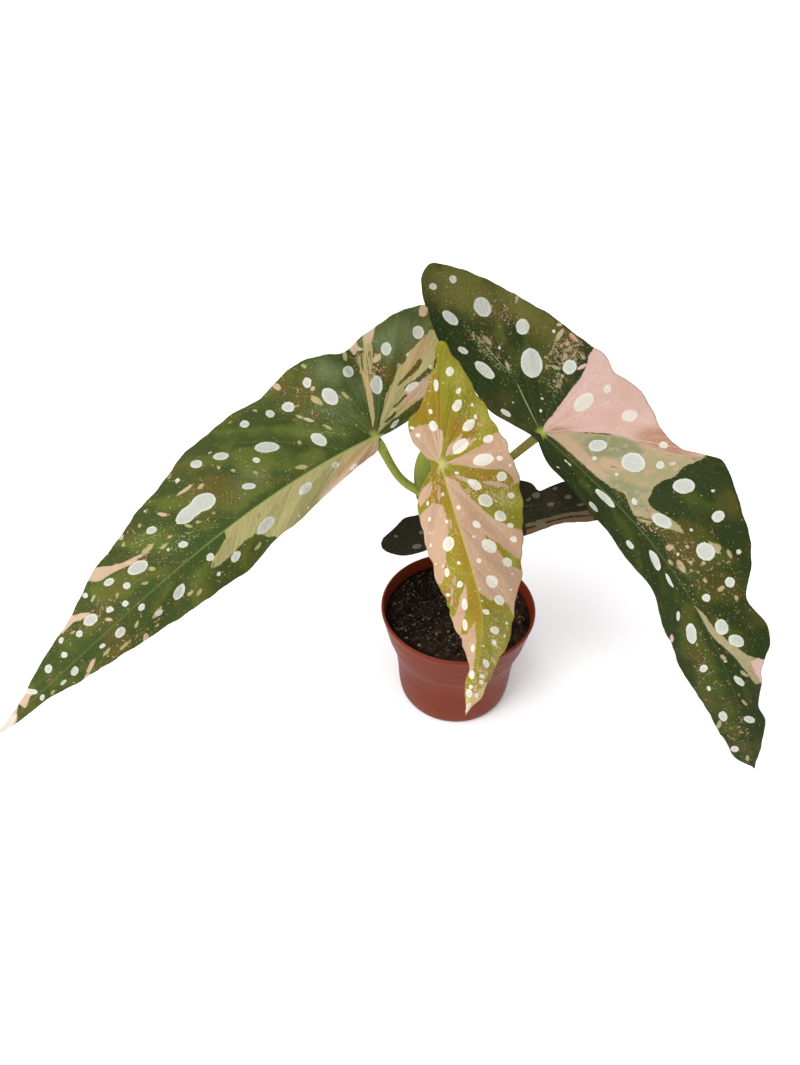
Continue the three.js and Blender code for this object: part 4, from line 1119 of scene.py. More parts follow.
# %% Markings of the middle leaf
MARKINGS["leaf_centre"] = dict(
    spots=[(-38, 14.3, 2, 1.9, 155), (-34, 7, 2.5, 1, 170), (-28.8, 16.4, 1.5, 1.3, 133),
        (-22.8, 14.1, 2.9, 2, 132), (-13.1, 17.1, 3.4, 2.1, 111), (-17.2, 1.4, 2.3, 1.9, 4),
        (-4.9, 24.1, 2.6, 1.7, 93), (-5.3, 10.7, 4.4, 2.6, 114), (3.4, 19.2, 4.9, 2.7, 86),
        (4.9, 26.9, 1.7, 1.1, 74), (13.9, 26.9, 2.9, 2.3, 57), (13.3, 12.8, 4, 2, 42),
        (22.2, 16.3, 4.5, 2.8, 54), (25.5, 31.7, 2.4, 1.5, 58), (32.3, 21.7, 3.7, 2.6, 52),
        (39, 25.6, 2.2, 1.2, 56), (31.1, 8.3, 2.4, 1.6, 38), (36.3, -8, 4.3, 2.6, 142),
        (43.7, 11.7, 4.8, 2.8, 38), (46.4, 25.1, 2.2, 1.4, 41), (56.3, 19.2, 3.4, 2.1, 40),
        (47.5, 4, 1.4, 1.1, 27), (51.1, -13.1, 2.7, 1.4, 159), (60.7, 7.9, 4.1, 2.7, 29),
        (58.4, -8.4, 2.4, 1.3, 157), (72.4, 10.1, 3.9, 2, 35), (75.1, 2.1, 2.4, 1.2, 35),
        (71, -8, 4.5, 1.5, 170), (88.5, 6.4, 3.6, 1.8, 35), (86, -9, 4, 1.5, 0), (97.2, 6.9, 2.5, 1.1, 28),
        (100.7, -4.2, 3.1, 1, 176), (111.1, 4.6, 4.5, 1.4, 28), (119.7, 3.8, 2.5, 1.1, 40),
        (124, 4.2, 2.5, 1.1, 31), (119, -2, 3, 1.5, 0), (127, -1, 1.5, 1, 170), (132, -1, 3, 1.5, 10),
        (133.3, 3.2, 1.9, 1, 25), (97, 1, 1, 0.5, 30), (66, -16, 1.5, 1, 160), (47, -19, 1, 0.5, 130),
        (48, -15, 1, 0.5, 130), (63, 20, 1, 0.5, 50), (70, 17, 1, 0.5, 50), (61, 1, 0.6, 0.5, 30),
        (68, 1, 1, 0.5, 30), (25.2, -5, 1.1, 0.8, 29), (22.1, -12.4, 1.3, 0.7, 136),
        (9.5, 31.5, 0.9, 0.7, 48), (5.7, 6, 1.1, 0.7, 58), (12.9, -2.8, 1, 0.6, 139),
        (-15.1, -6.3, 1.2, 1, 67), (14.8, -10.5, 1.2, 0.7, 153), (36.1, 5.4, 1, 0.7, 57),
        (-18.9, -7.8, 1.2, 0.9, 63), (36, -17.8, 1.2, 0.6, 154), (142.5, 0.8, 4, 1.3, 0),
        (-21.2, 21.2, 0.8, 0.8, 0), (-15.9, 21.2, 1, 0.9, 0), (-23.6, 1.9, 1.2, 0.9, 0),
        (20.6, 2.2, 1.2, 1, 30), (46, -5.2, 1, 0.8, 0), (29.5, -15.6, 0.7, 0.6, 0),
        (89, 14.4, 1.4, 0.7, 40), (95.4, 12.8, 1, 0.7, 40)],
    pink=[
        [(0, 2), (-1.5, 12), (-3, 20), (-6, 26), (-7, 32), (6, 36), (20, 40), (20.5, 34.5), (13.6, 31),
         (10.4, 27), (8, 20), (5, 13), (2.6, 8)],
        [(-3, 3), (-7, 5), (-8, 8), (-10.4, 12.6), (-8, 12.4), (-8, 16.6), (-6, 15), (-3.6, 13), (-2.6, 8)],
        [(5, 0), (8, 4), (14, 7), (20, 10), (27, 14.6), (34, 19.6), (40, 26), (46, 32.4), (54, 36),
         (66, 30), (73, 26), (78, 19), (86, 18), (80, 16), (75, 13), (71, 9), (70, 5), (66, 2.6), (62, 0)],
        [(18, -4.4), (24, -4), (30, -5.4), (36, -9), (44, -12), (52, -14.6), (58, -17.4), (61, -21),
         (50, -24), (34, -22), (26, -19), (20, -17), (17, -12), (15, -8)],
        [(58, -5.4), (66, -5.6), (72, -7.6), (80, -9.2), (88, -10.6), (99, -11.4), (92, -16), (87, -17.6),
         (82, -14.6), (74, -12), (66, -9.6)],
        [(80, -3.4), (90, -3.2), (100, -2.4), (112, -2.4), (123, -1), (120, -5), (108, -8), (100, -11),
         (94, -11), (92, -8), (85, -5.4)],
        [(-2, -0.6), (-6, 2.6), (-10, 4.4), (-14, 4.6), (-18, 1), (-19.4, -5), (-17, -10), (-10, -12),
         (-6, -7), (-3, -3.4)],
        [(6, -6), (9, -6.6), (12, -9), (16, -14.6), (12, -14.6), (8, -11)]],
    khaki=[
        [(126, 8), (136, 7), (150, 2), (150, 0), (140, -1.4), (129, -3), (131, -0.6), (128, 1), (130, 3.4)]],
    olive=[
        [(36, 10.4), (40, 13), (45, 17), (50, 20), (56, 24), (60, 28), (65, 27), (60, 21.6), (55, 18.6),
         (50, 16.6), (46, 15), (42, 12)]],
    rosy=[(11, 10.4, 4, 1, 45), (24, 11.4, 4, 1, 28), (17, 24.6, 6, 1, 62), (15, 20, 4, 0.8, 62),
        (8.4, 7, 3, 0.8, 48), (12, -4.4, 3, 0.8, 160), (9, -9, 2.4, 0.9, 130), (27, -3.6, 2.6, 0.8, 170),
        (-5, 14, 5, 1, 110), (64, -13.6, 4, 0.7, 165), (72, -15.4, 4, 0.7, 165), (56, -10.4, 3, 0.8, 155),
        (100, 8.4, 2.6, 0.6, 30), (109, 7.6, 3, 0.8, 25), (-12, 22, 1.4, 0.8, 60), (92, 15, 2, 0.6, 20)],
    tawny=[(117, 5.6, 5, 0.8, 25), (124, 5.6, 4, 0.8, 25), (131, 1.6, 5, 0.9, 5), (112, 9.6, 3, 0.7, 25)],
    haze=[(20, 26, 18, 10, 50, 0.8), (12, 8, 10, 5, 45, 0.9), (-15, 16, 22, 10, 0, 0.35),
        (60, -13, 26, 5, -10, 0.7), (88, 8, 20, 8, 0, 0.55), (10, -6, 10, 6, -20, 0.9),
        (120, 3, 24, 6, 0, 0.9), (30, -2.6, 16, 2, 0, 0.6)],
    warm=[(50, -2.6, 50, 3.4, 0, 1.2), (-32, 4, 20, 6, -16, 1.3), (8, 14, 3, 12, -25, 0.7),
        (60, 10, 20, 8, 20, 0.5), (-10, -4, 9, 6, 0, 0.5), (-14, 12, 10, 7, -20, 0.6),
        (34, 14, 10, 4, 30, 0.6)],
    painted_light_wash=[(-34, 17, 9, 7, 10, 0.8), (-16, 24, 8, 5, 0, 0.6), (28, 33, 14, 6, 55, 0.9),
        (98, 12, 20, 5, -10, 0.6), (60, 22, 12, 4, -30, 0.6)],
    deep=[(92, 9, 24, 8, 8, 0.9), (-30, 16, 20, 7, 20, 0.6), (32, 28, 14, 7, 55, 0.8),
        (14, 16, 8, 5, 50, 0.4)],
    frost=[(116, 3, 26, 6, 0, 0.9), (-34, 4, 12, 3, -30, 0.8), (24, 24, 20, 9, 50, 0.9),
        (95, 8, 22, 8, 8, 0.9), (-18, 18, 20, 8, 0, 0.6), (56, -12, 30, 6, -8, 0.6)],
    sage=[])
print("leaf_centre spots:", len(MARKINGS["leaf_centre"]["spots"]))

# %% Markings of the back leaf
MARKINGS["leaf_back"] = dict(
    spots=[(-33.4, 1.1, 1.6, 0.9, 149), (-23.5, -8.3, 2.7, 1.4, 173), (-19, -1, 1.5, 1, 160),
        (53, 6, 2.5, 2, 0), (60.6, -0.7, 2.1, 1.2, 1), (72, 3, 2, 1.5, 10), (65.5, 9.3, 1.5, 1, 20),
        (55, -13, 4, 1.5, 170), (-12, 6, 3, 2, 30), (6, 11, 3, 2.5, 60), (22, 15, 2.5, 2, 80),
        (18, -9, 3.5, 2, 120), (36, 12, 3, 2, 60), (34, -13, 2.5, 1.5, 150), (84, 6, 2, 1.5, 20),
        (98, -5, 2, 1, 170), (52.8, -10.1, 1, 0.7, 177), (46.7, -11.3, 1.7, 0.7, 10)],
    pink=[
        [(45, -15), (60, -12.6), (75, -10.6), (90, -9), (92, -12), (75, -15), (60, -16), (45, -19)]],
    khaki=[
        [(44, -11), (60, -9), (72, -7), (85, -5.6), (88, -8), (74, -9.4), (60, -11.4), (45, -13.6)],
        [(0, 1), (14, 6), (30, 17), (38, 20), (30, 22), (14, 14), (3, 5)]],
    rosy=[(48, 4, 2, 1, 30)],
    tawny=[(80, -2, 3, 0.8, 10)],
    haze=[(20, 8, 30, 12, 20, 0.5), (70, 0, 40, 12, 0, 0.3)],
    warm=[(70, -10, 30, 4, 8, 0.6)],
    deep=[(-30, 0, 14, 10, 0, 0.6)],
    frost=[(60, 4, 20, 8, 0, 0.4)],
    olive=[], sage=[], painted_light_wash=[])
print("leaf_back spots:", len(MARKINGS["leaf_back"]["spots"]))

# %% [markdown]
# ### What the materials read
# Each point of a blade carries its flat place, its distances in millimetres to a vein, to the margin
# and to each kind of marking, and the strength of the soft patches there.

# %% Numbers for the materials
VEIN_LIMIT, SPOT_LIMIT = 9, 4


def both_faces(values, shape):
    """A field on the grid, given to the upper face and, turned round, to the lower one."""
    values = np.asarray(values).reshape(*shape, -1)
    return np.concatenate([values, values[:, ::-1]], 1)


def flow_of(leaf, walked, out):
    """A place whose noise runs along the grid's lines: the length walked round the margin, rolled onto
    a drum with the margin's length round it, and the distance out along the line as its height."""
    total = outline_curve(leaf)[1][-1]
    drum, turn = total / (2 * np.pi), (2 * np.pi * walked / total)[:, None]
    return turned(drum, out, turn)


def marks_of(leaf, marks, a, b):
    """The flat place and each kind of marking as a distance to its edge or as a strength."""
    flat = np.stack([a, b], -1).reshape(-1, 2)
    fields = {
        "flat": np.stack([a, b, np.zeros_like(a)], -1),
        "rib": np.where(a > 0, np.abs(b), np.hypot(a, b)),
        "share": a / leaf["length"],
        "spot": np.clip(spot_depth(flat, marks["spots"]), -SPOT_LIMIT, SPOT_LIMIT),
        "pink": areas_depth(flat, marks["pink"], marks["olive"], marks["rosy"]),
        "khaki": areas_depth(flat, marks["khaki"], marks["olive"], marks["tawny"]),
        "sage": areas_depth(flat, marks["sage"]),
        "tint": haze_of(flat, marks["warm"]) - haze_of(flat, marks["deep"])}
    fields.update({key: haze_of(flat, marks[key]) for key in ("frost", "painted_light_wash", "haze")})
    return fields


# %% [markdown]
# ### The blade
# Both faces are one closed grid: along a line outward on the upper face, round the margin and back
# underneath. The blade is half a millimetre thick and thins to its margin, which waves and has small
# blunt teeth.

# %% From flat lines to a closed blade
TOOTH_HEIGHT, TOOTH_PITCH, TEETH_FROM = 0.12, 3.1, 0.85
GROOVE, RIB_DEPTH, RIPPLE = 0.25, 0.9, 0.12
EDGE_HALF, INNER_HALF = 0.12, 0.25  # half the thickness
LINE_EASE = 1.2  # above 1, the points on a line crowd at its foot
SWELL_RAMP, HALF_RAMP, GROOVE_RAMP, RIB_RAMP, RIPPLE_RAMP = 12, 6, 4, 5, 3  # mm to fade in over


def ripple(a, b, count=9):
    """Soft unevenness: seeded waves 7 to 20 mm long in all directions, added and divided by three."""
    total = np.zeros_like(a)
    for way, length, start in random.uniform((0, 7, 0), (np.pi, 20, 2 * np.pi), (count, 3)):
        total += np.sin(2 * np.pi / length * (a * math.cos(way) + b * math.sin(way)) + start)
    return total / 3


def teeth_of(walked, u, far, uneven):
    """A zigzag of small teeth and two slow waves of the length walked along the margin, uneven
    millimetres high. They fade in over the outermost part of each line."""
    teeth = TOOTH_HEIGHT * (1 - np.abs(2 * (walked / TOOTH_PITCH % 1) - 1))
    teeth = teeth + uneven * (np.sin(walked / 1.63 + np.sin(walked / 9)) + np.sin(walked / 2.9)) / 2
    return teeth[:, None] * smooth((u - TEETH_FROM) / (1 - TEETH_FROM)) * smooth(far / SWELL_RAMP)


def blade(name, node, spacing, step, across, puff, reach, uneven):
    """A point is bend(foot + (end - foot) u) moved along the blade's facing by the margin's wave, the
    puff (1 - e^-(distance to a vein / reach)^2) and half the thickness."""
    leaf, marks = LEAVES[node], MARKINGS[node]
    feet, ends, walked, number = lines_of(leaf, step)
    u = np.linspace(0, 1, across + 1)[None] ** LINE_EASE
    line = ends - np.stack([feet, 0 * feet], -1)
    far = np.hypot(*line.T)[:, None]
    out = u + teeth_of(walked, u, far, uneven) / far
    a, b = feet[:, None] + line[:, :1] * out, line[:, 1:] * out
    size = leaf["wave"] * smooth(np.hypot(*ends.T) / WAVE_RAMP)[:, None]
    wave = size * u ** 2 * np.sin(leaf["waves"] * 2 * np.pi * number + leaf["phase"])[:, None]
    flat = np.stack([a, b], -1).reshape(-1, 2)
    gap, share = (x.reshape(a.shape) for x in to_veins(flat, veins_of(leaf, spacing)))
    margin = far * (1 - u)
    swell = puff * (1 - np.exp(-(gap / reach) ** 2)) * smooth(margin / SWELL_RAMP)
    swell = swell + RIPPLE * ripple(a, b) * smooth(gap / RIPPLE_RAMP)
    half = EDGE_HALF + (INNER_HALF - EDGE_HALF) * smooth(margin / HALF_RAMP)
    thin = 1 - 0.75 * smooth(a / leaf["length"])
    groove = GROOVE * np.exp(-share ** 2) * smooth(margin / GROOVE_RAMP) * (0.4 + 0.6 * thin)
    rib = RIB_DEPTH * np.exp(-(share * 0.8) ** 2 - gap / 4) * smooth(margin / RIB_RAMP) * thin
    middle, normal = bend(leaf, a, b), facing_of(leaf, a, b)
    upper = middle + normal * (wave + swell + half - groove)[..., None]
    lower = middle + normal * (wave + swell - half - rib)[..., None]
    points = np.concatenate([upper, lower[:, ::-1]], 1)
    faces = grid_faces(len(feet), 2 * (across + 1), wrap_rows=True)
    corner_a, corner_b = np.array(leaf["outline"], float).T
    turning = np.dot(corner_a, np.roll(corner_b, -1)) - np.dot(corner_b, np.roll(corner_a, -1))
    fields = {"vein": np.minimum(share, VEIN_LIMIT), "gap": gap, "margin": margin,
              "flow": flow_of(leaf, walked, far * u), **marks_of(leaf, marks, a, b)}
    attributes = {key: both_faces(values, a.shape) for key, values in fields.items()}
    attributes["under"] = np.tile(np.repeat([0, 1], across + 1), len(feet))
    return make_piece(name, points, faces if turning > 0 else faces[:, ::-1], attributes)


# %% The four blades
BLADES = {  # name, space between veins, grid step, points across, puff, its reach and unevenness
    "leaf_left": ("spotted_leaf_left", 32.0, 1.0, 60, 1.9, 8.0, 0.38),
    "leaf_right": ("spotted_leaf_right", 31.0, 1.0, 60, 1.8, 8.0, 0.32),
    "leaf_centre": ("spotted_leaf_centre", 20.0, 0.75, 54, 1.3, 5.5, 0.85),
    "leaf_back": ("spotted_leaf_back", 19.0, 0.8, 44, 0.8, 5.0, 0.25),
}
blades = {node: blade(name, node, *numbers) for node, (name, *numbers) in BLADES.items()}

# %% [markdown]
# ## The leaf's colours
# Seen from above a blade is green, painted deeper along the sunken veins as painted shade and yellower
# between them. Over the green lie flakes of tan and rose in clouds, khaki and pink areas with frayed
# edges, tiny pale freckles and the silver spots. The underside is wine red.

# %% Colours as they look
LEAF_GAIN = 1.45  # how much brighter than its own colour an upward face looks in this light


def seen(red, green, blue, gain):
    """The base colour of a surface that looks like this screen colour: its linear colour over gain."""
    return tuple(c / gain for c in linear(red, green, blue)[:3]) + (1.0,)


# %% What the layers of a leaf share
class LeafTree:
    """A leaf material's tree, its tones, and the noises and distances that several layers use."""

    def __init__(self, tree, shift, tones, gain):
        self.tree = tree
        self.tone = {key: seen(*value, gain) for key, value in tones.items()}
        self.flat = moved(tree, mark(tree, "flat", "Vector"), (shift, shift * 0.7, 0.0))
        flow = moved(tree, mark(tree, "flow", "Vector"), (shift, 0.0, 0.0))
        self.broad = noise(tree, self.flat, 0.045, 3.0)
        self.fine = noise(tree, self.flat, 1.3, 4.0, 0.65)
        self.streak = noise(tree, stretched(tree, flow, (1.0, 1.0, 0.14)), 0.6, 4.0, 0.6)
        self.wander = self.noise((40.0, 11.0, 3.0), 0.45, 4.0, 0.65)
        self.flake = self.noise((7.0, 31.0, 6.0), 0.42, 6.0, 0.68)
        self.speck = self.noise((9.0, 5.0, 2.0), 1.1, 3.0, 0.6)
        self.middle, self.vein = mark(tree, "rib"), mark(tree, "vein")
        self.haze, self.tint = mark(tree, "haze"), mark(tree, "tint")

    def noise(self, shift, scale, detail, rough=0.55):
        """Noise on the flat leaf, moved so that no two are alike."""
        return noise(self.tree, moved(self.tree, self.flat, shift), scale, detail, rough)

    def sum(self, first, times, second):
        """The first value times a number, plus the second."""
        return sums(self.tree, "MULTIPLY_ADD", first, times, second)

    def shaken(self, value, cloud, times):
        """A value plus a noise around 0.5, taken as a shift around zero."""
        return sums(self.tree, "ADD", value, self.sum(cloud, times, -0.5 * times))

    def over(self, colour, paint, share):
        """One colour laid over another by a share. A name means the leaf's tone of that name."""
        colour, paint = (self.tone[c] if isinstance(c, str) else c for c in (colour, paint))
        return blend(self.tree, share, colour, paint)

    def layer(self, colour, paint, value, low, high, start=0.0, end=1.0):
        """The same, where the share goes from start to end while a value goes from low to high."""
        return self.over(colour, paint, ramp(self.tree, value, low, high, start, end))

    def area(self, name, by_wander, by_streak, soft=0.3):
        """An area's share, its edge frayed by two noises but not next to the midrib."""
        frays = self.shaken(self.sum(self.streak, by_streak, -0.5 * by_streak), self.wander, by_wander)
        frays = sums(self.tree, "MULTIPLY", frays, ramp(self.tree, self.middle, 0.2, 4.0))
        return ramp(self.tree, sums(self.tree, "ADD", mark(self.tree, name), frays), -soft, soft)


# %% [markdown]
# The green comes first. It is deep by the veins, which is painted shade in their valleys, and fresh
# between them, with warm places and pale washed places of painted light.
# Where haze and noise are high lie brown clouds, chips of tan, rose or straw in lots, and pale dust.

# %% Green with clouds of flakes
def green_of(leaf, flaky):
    """The green and everything that is sprinkled over it; flaky is the share of the sprinkles."""
    # Painted shade: the green is darker near the sunken veins and lighter between them, by the distance to a
    # vein.
    between = ramp(leaf.tree, mark(leaf.tree, "gap"), 0.0, 9.0, -0.16, 0.1)
    ripe = leaf.sum(leaf.tint, 0.12, sums(leaf.tree, "ADD", leaf.broad, between))
    green = leaf.layer("deep", "fresh", ripe, 0.36, 0.64)
    warm = leaf.sum(leaf.tint, 0.22, leaf.noise((91.0, 17.0, 5.0), 0.05, 3.0))
    green = leaf.layer(green, "warm", warm, 0.5, 0.74, 0.0, 0.9)
    # Painted light: the pale wash patches lighten the green where the blade would otherwise look too dark.
    pale = leaf.shaken(mark(leaf.tree, "painted_light_wash"), leaf.broad, 1.4)
    green = leaf.layer(green, "painted_light_wash", pale, 0.1, 1.0, 0.0, 0.95)
    green = leaf.layer(green, "fresh", leaf.fine, 0.5, 0.75, 0.0, 0.25)
    cloud = leaf.shaken(leaf.sum(leaf.haze, 0.2, leaf.flake), leaf.broad, 0.16)
    green = leaf.layer(green, "brown", cloud, 0.58, 0.68, 0.0, 0.7 * flaky)
    lot = leaf.noise((17.0, 71.0, 1.0), 0.16, 2.0)
    chip = leaf.layer("tan", "rose", lot, 0.62, 0.7)
    chip = leaf.layer(chip, "straw", lot, 0.48, 0.56, 0.85, 0.0)
    chips = leaf.shaken(cloud, leaf.speck, 0.36)
    green = leaf.layer(green, chip, chips, 0.69, 0.71, 0.0, 0.75 * flaky)
    dust = leaf.sum(leaf.haze, 0.1, leaf.speck)
    green = leaf.layer(green, "straw", dust, 0.65, 0.7, 0.0, 0.5 * flaky)
    return leaf.layer(green, "shade", leaf.vein, 0.3, 1.1, 0.22, 0.0)


# %% [markdown]
# Khaki is streaked with straw and turns to sage, tan or brown in places. Pink turns to rose or salmon
# and has pale streaks. Streaks run along the grid's lines, as the veins do. Veins in the pink are pale.

# %% Khaki and pink areas
def areas_over(leaf, green):
    """The khaki areas over the green and the pink ones over both."""
    khaki = leaf.layer("khaki", "straw", leaf.streak, 0.36, 0.64, 0.0, 0.7)
    khaki = leaf.layer(khaki, "sage", mark(leaf.tree, "sage"), -2.0, 1.0, 0.0, 0.9)
    khaki = leaf.layer(khaki, "tan", leaf.shaken(leaf.flake, leaf.streak, 0.4), 0.53, 0.6, 0.0, 0.55)
    khaki = leaf.layer(khaki, "tan", leaf.tint, 0.2, 0.9, 0.0, 0.85)
    slash = leaf.sum(leaf.haze, 0.16, leaf.streak)
    khaki = leaf.layer(khaki, "brown", slash, 0.66, 0.72, 0.0, 0.85)
    colour = leaf.over(green, khaki, leaf.area("khaki", 1.5, 1.5))
    pink = leaf.layer("pink", "rose", leaf.broad, 0.3, 0.7)
    pink = leaf.layer(pink, "salmon", leaf.tint, 0.2, 0.9, 0.0, 0.9)
    pink = leaf.layer(pink, "pale", leaf.streak, 0.5, 0.8, 0.0, 0.3)
    pink = leaf.layer(pink, "tan", leaf.flake, 0.5, 0.66, 0.0, 0.5)
    colour = leaf.over(colour, pink, leaf.area("pink", 1.6, 1.2))
    lines = ramp(leaf.tree, leaf.vein, 0.2, 0.9, 0.45, 0.0)
    lines = sums(leaf.tree, "MULTIPLY", lines, ramp(leaf.tree, mark(leaf.tree, "pink"), -0.3, 0.3))
    return leaf.over(colour, "pale", lines)


# %% Bright midrib, hub and margin
def veins_over(leaf, colour):
    """The midrib is bright and fades towards the tip. The veins are bright where they meet above the
    stalk, and the margin is thin and a little paler."""
    tree = leaf.tree
    bright = sums(tree, "MULTIPLY", ramp(tree, leaf.middle, 0.15, 0.5, 0.85, 0.0),
                  ramp(tree, mark(tree, "share"), 0.25, 0.65, 1.0, 0.12))
    colour = leaf.over(colour, "midrib", bright)
    from_stalk = vector_step(tree, "LENGTH", mark(tree, "flat", "Vector"), (0, 0, 0), "Value")
    hub = sums(tree, "MULTIPLY", ramp(tree, from_stalk, 0.6, 4.8, 0.85, 0.0),
               ramp(tree, leaf.vein, 0.3, 1.2, 1.0, 0.0))
    colour = leaf.over(colour, "hub", hub)
    return leaf.layer(colour, "shade", mark(tree, "margin"), 0.1, 0.5, 0.4, 0.0)


# %% [markdown]
# A freckle is the middle of a cell, and its size comes from the cell's own random number. A silver
# spot ends where its distance plus noise is zero. It is whiter within, crazed with fine cracks, and
# creamy where it lies on pink. The wine red underside shows the spots and the ribs faintly.

# %% Freckles and silver spots
def spots_over(leaf, colour):
    """Freckles, frost and silver spots over the colour."""
    tree = leaf.tree
    grain = tree.nodes.new("ShaderNodeTexVoronoi")
    tree.links.new(leaf.flat, grain.inputs["Vector"])
    grain.inputs["Scale"].default_value = 0.5
    lots = tree.nodes.new("ShaderNodeSeparateColor")
    tree.links.new(grain.outputs["Color"], lots.inputs[0])
    size = ramp(tree, leaf.shaken(lots.outputs[0], leaf.broad, 0.9), 0.5, 1.1, 0.0, 0.2)
    freckle = sums(tree, "SUBTRACT", size, grain.outputs["Distance"])
    colour = leaf.layer(colour, "freckle", freckle, -0.03, 0.03, 0.0, 0.75)
    frost = leaf.sum(mark(tree, "frost"), 0.2, leaf.speck)
    colour = leaf.layer(colour, "freckle", frost, 0.68, 0.76, 0.0, 0.5)
    inside = mark(tree, "spot")
    rim = leaf.shaken(leaf.shaken(inside, leaf.wander, 1.1), leaf.fine, 0.5)
    crack = cells(tree, moved(tree, leaf.flat, (3.0, 8.0, 0.0)), 0.8, "DISTANCE_TO_EDGE")
    silver = leaf.layer("spot", "silver", inside, 0.2, 1.8)
    silver = leaf.layer(silver, "spot", leaf.fine, 0.4, 0.7, 0.0, 0.5)
    silver = leaf.layer(silver, "sage", crack, 0.0, 0.06, 0.25, 0.0)
    silver = leaf.layer(silver, "cream", mark(tree, "pink"), -1.5, 1.5, 0.0, 0.8)
    return leaf.layer(colour, silver, rim, -0.1, 0.16, 0.0, 0.97)


# %% Underside and surface
def underside_over(leaf, colour):
    """Wine red, browner at the ribs and rosy at the spots, wherever a face looks down."""
    below = leaf.layer(linear(96, 26, 32), linear(122, 42, 46), leaf.broad, 0.3, 0.7)
    below = leaf.layer(below, linear(140, 96, 62), leaf.vein, 0.8, 1.8, 0.6, 0.0)
    below = leaf.layer(below, linear(164, 116, 108), mark(leaf.tree, "spot"), -0.5, 0.6, 0.0, 0.4)
    return leaf.layer(colour, below, mark(leaf.tree, "under"), 0.35, 0.65)


def leaf_finish(name, shift, tones, flaky, gain):
    """A leaf's material: the layers in order, a soft sheen, and a net of cells and pebbles as relief.
    shift moves the noises, so that no two leaves are alike."""
    finish, tree, shader = finish_tree(name)
    leaf = LeafTree(tree, shift, tones, gain)
    colour = veins_over(leaf, areas_over(leaf, green_of(leaf, flaky)))
    plug(tree, shader.inputs["Base Color"], underside_over(leaf, spots_over(leaf, colour)))
    plug(tree, shader.inputs["Roughness"], ramp(tree, leaf.fine, 0.25, 0.75, 0.45, 0.6))
    shader.inputs["Specular IOR Level"].default_value = 0.04
    net = cells(tree, moved(tree, leaf.flat, (0.0, 5.0, 0.0)), 0.33, "DISTANCE_TO_EDGE")
    pebbles = sums(tree, "MULTIPLY", cells(tree, leaf.flat, 1.4), 0.3)
    relief(tree, shader, leaf.sum(ramp(tree, net, 0.0, 0.25), 0.8, pebbles), 0.0003, 0.35)
    return finish


# %% Finishes of the leaves
# The back leaf's column is darker than its own green: painted shade, as it lies under the other leaves.
TONES = {  # what is painted, and its screen colour on the left, right, middle and back leaf
    "deep": ((62, 76, 34), (44, 56, 25), (130, 126, 36), (30, 30, 19)),
    "fresh": ((90, 101, 40), (66, 78, 28), (146, 134, 40), (38, 38, 24)),
    "warm": ((94, 86, 36), (80, 75, 30), (140, 112, 32), (44, 36, 24)),
    "brown": ((100, 68, 40), (84, 62, 34), (144, 104, 52), (50, 38, 26)),
    "shade": ((108, 118, 56), (76, 88, 44), (160, 144, 66), (42, 43, 27)),
    "painted_light_wash": ((102, 114, 74), (108, 108, 52), (158, 154, 66), (46, 46, 28)),
    "khaki": ((160, 156, 102), (162, 152, 114), (190, 172, 118), (80, 76, 50)),
    "straw": ((176, 166, 116), (156, 148, 108), (196, 174, 118), (88, 82, 54)),
    "sage": ((150, 150, 96), (134, 138, 102), (158, 146, 70), (58, 58, 36)),
    "tan": ((190, 160, 114), (190, 162, 132), (194, 160, 114), (82, 70, 48)),
    "pink": ((200, 176, 150), (210, 176, 166), (187, 156, 129), (90, 70, 52)),
    "rose": ((192, 162, 134), (204, 166, 152), (184, 147, 120), (94, 64, 50)),
    "salmon": ((188, 150, 120), (172, 124, 100), (174, 138, 110), (94, 62, 50)),
    "pale": ((216, 192, 168), (220, 194, 184), (204, 178, 156), (106, 88, 66)),
    "midrib": ((132, 148, 80), (78, 96, 48), (178, 156, 92), (56, 56, 33)),
    "hub": ((160, 172, 84), (160, 172, 76), (190, 184, 118), (76, 76, 42)),
    "freckle": ((164, 174, 128), (152, 164, 118), (204, 198, 148), (68, 70, 52)),
    "silver": ((186, 188, 180), (194, 196, 188), (206, 202, 186), (76, 78, 60)),
    "spot": ((208, 208, 196), (213, 213, 202), (222, 218, 202), (84, 86, 68)),
    "cream": ((214, 206, 190), (222, 212, 198), (224, 216, 202), (90, 88, 70)),
}
FINISHES = {  # material, shift of its noises, share of sprinkles, gain and slot
    "leaf_left": ("spotted_green_left", 0.0, 1.0, LEAF_GAIN, "leaf"),
    "leaf_right": ("spotted_green_right", 60.0, 1.0, LEAF_GAIN, "leaf"),
    "leaf_centre": ("spotted_green_young", 130.0, 0.9, 1.3, "leaf_young"),
    # The back leaf's finish carries painted shade from the leaves above it.
    "leaf_back": ("spotted_green_back_in_painted_shade", 200.0, 0.6, 0.8, "leaf_old"),
}
for column, (node, (name, shift, flaky, gain, slot)) in enumerate(FINISHES.items()):
    tones = {key: row[column] for key, row in TONES.items()}
    place(blades[node], leaf_finish(name, shift, tones, flaky, gain), node, slot)
print("leaf materials:", [piece.data.materials[0].name for piece in blades.values()])

# %% [markdown]
# ## Leaf stalks
# Each stalk leaves its node thick, narrows in the middle and widens where it carries its blade, where
# it is cut along the blade's underside. The path is the one that the plain solid has.

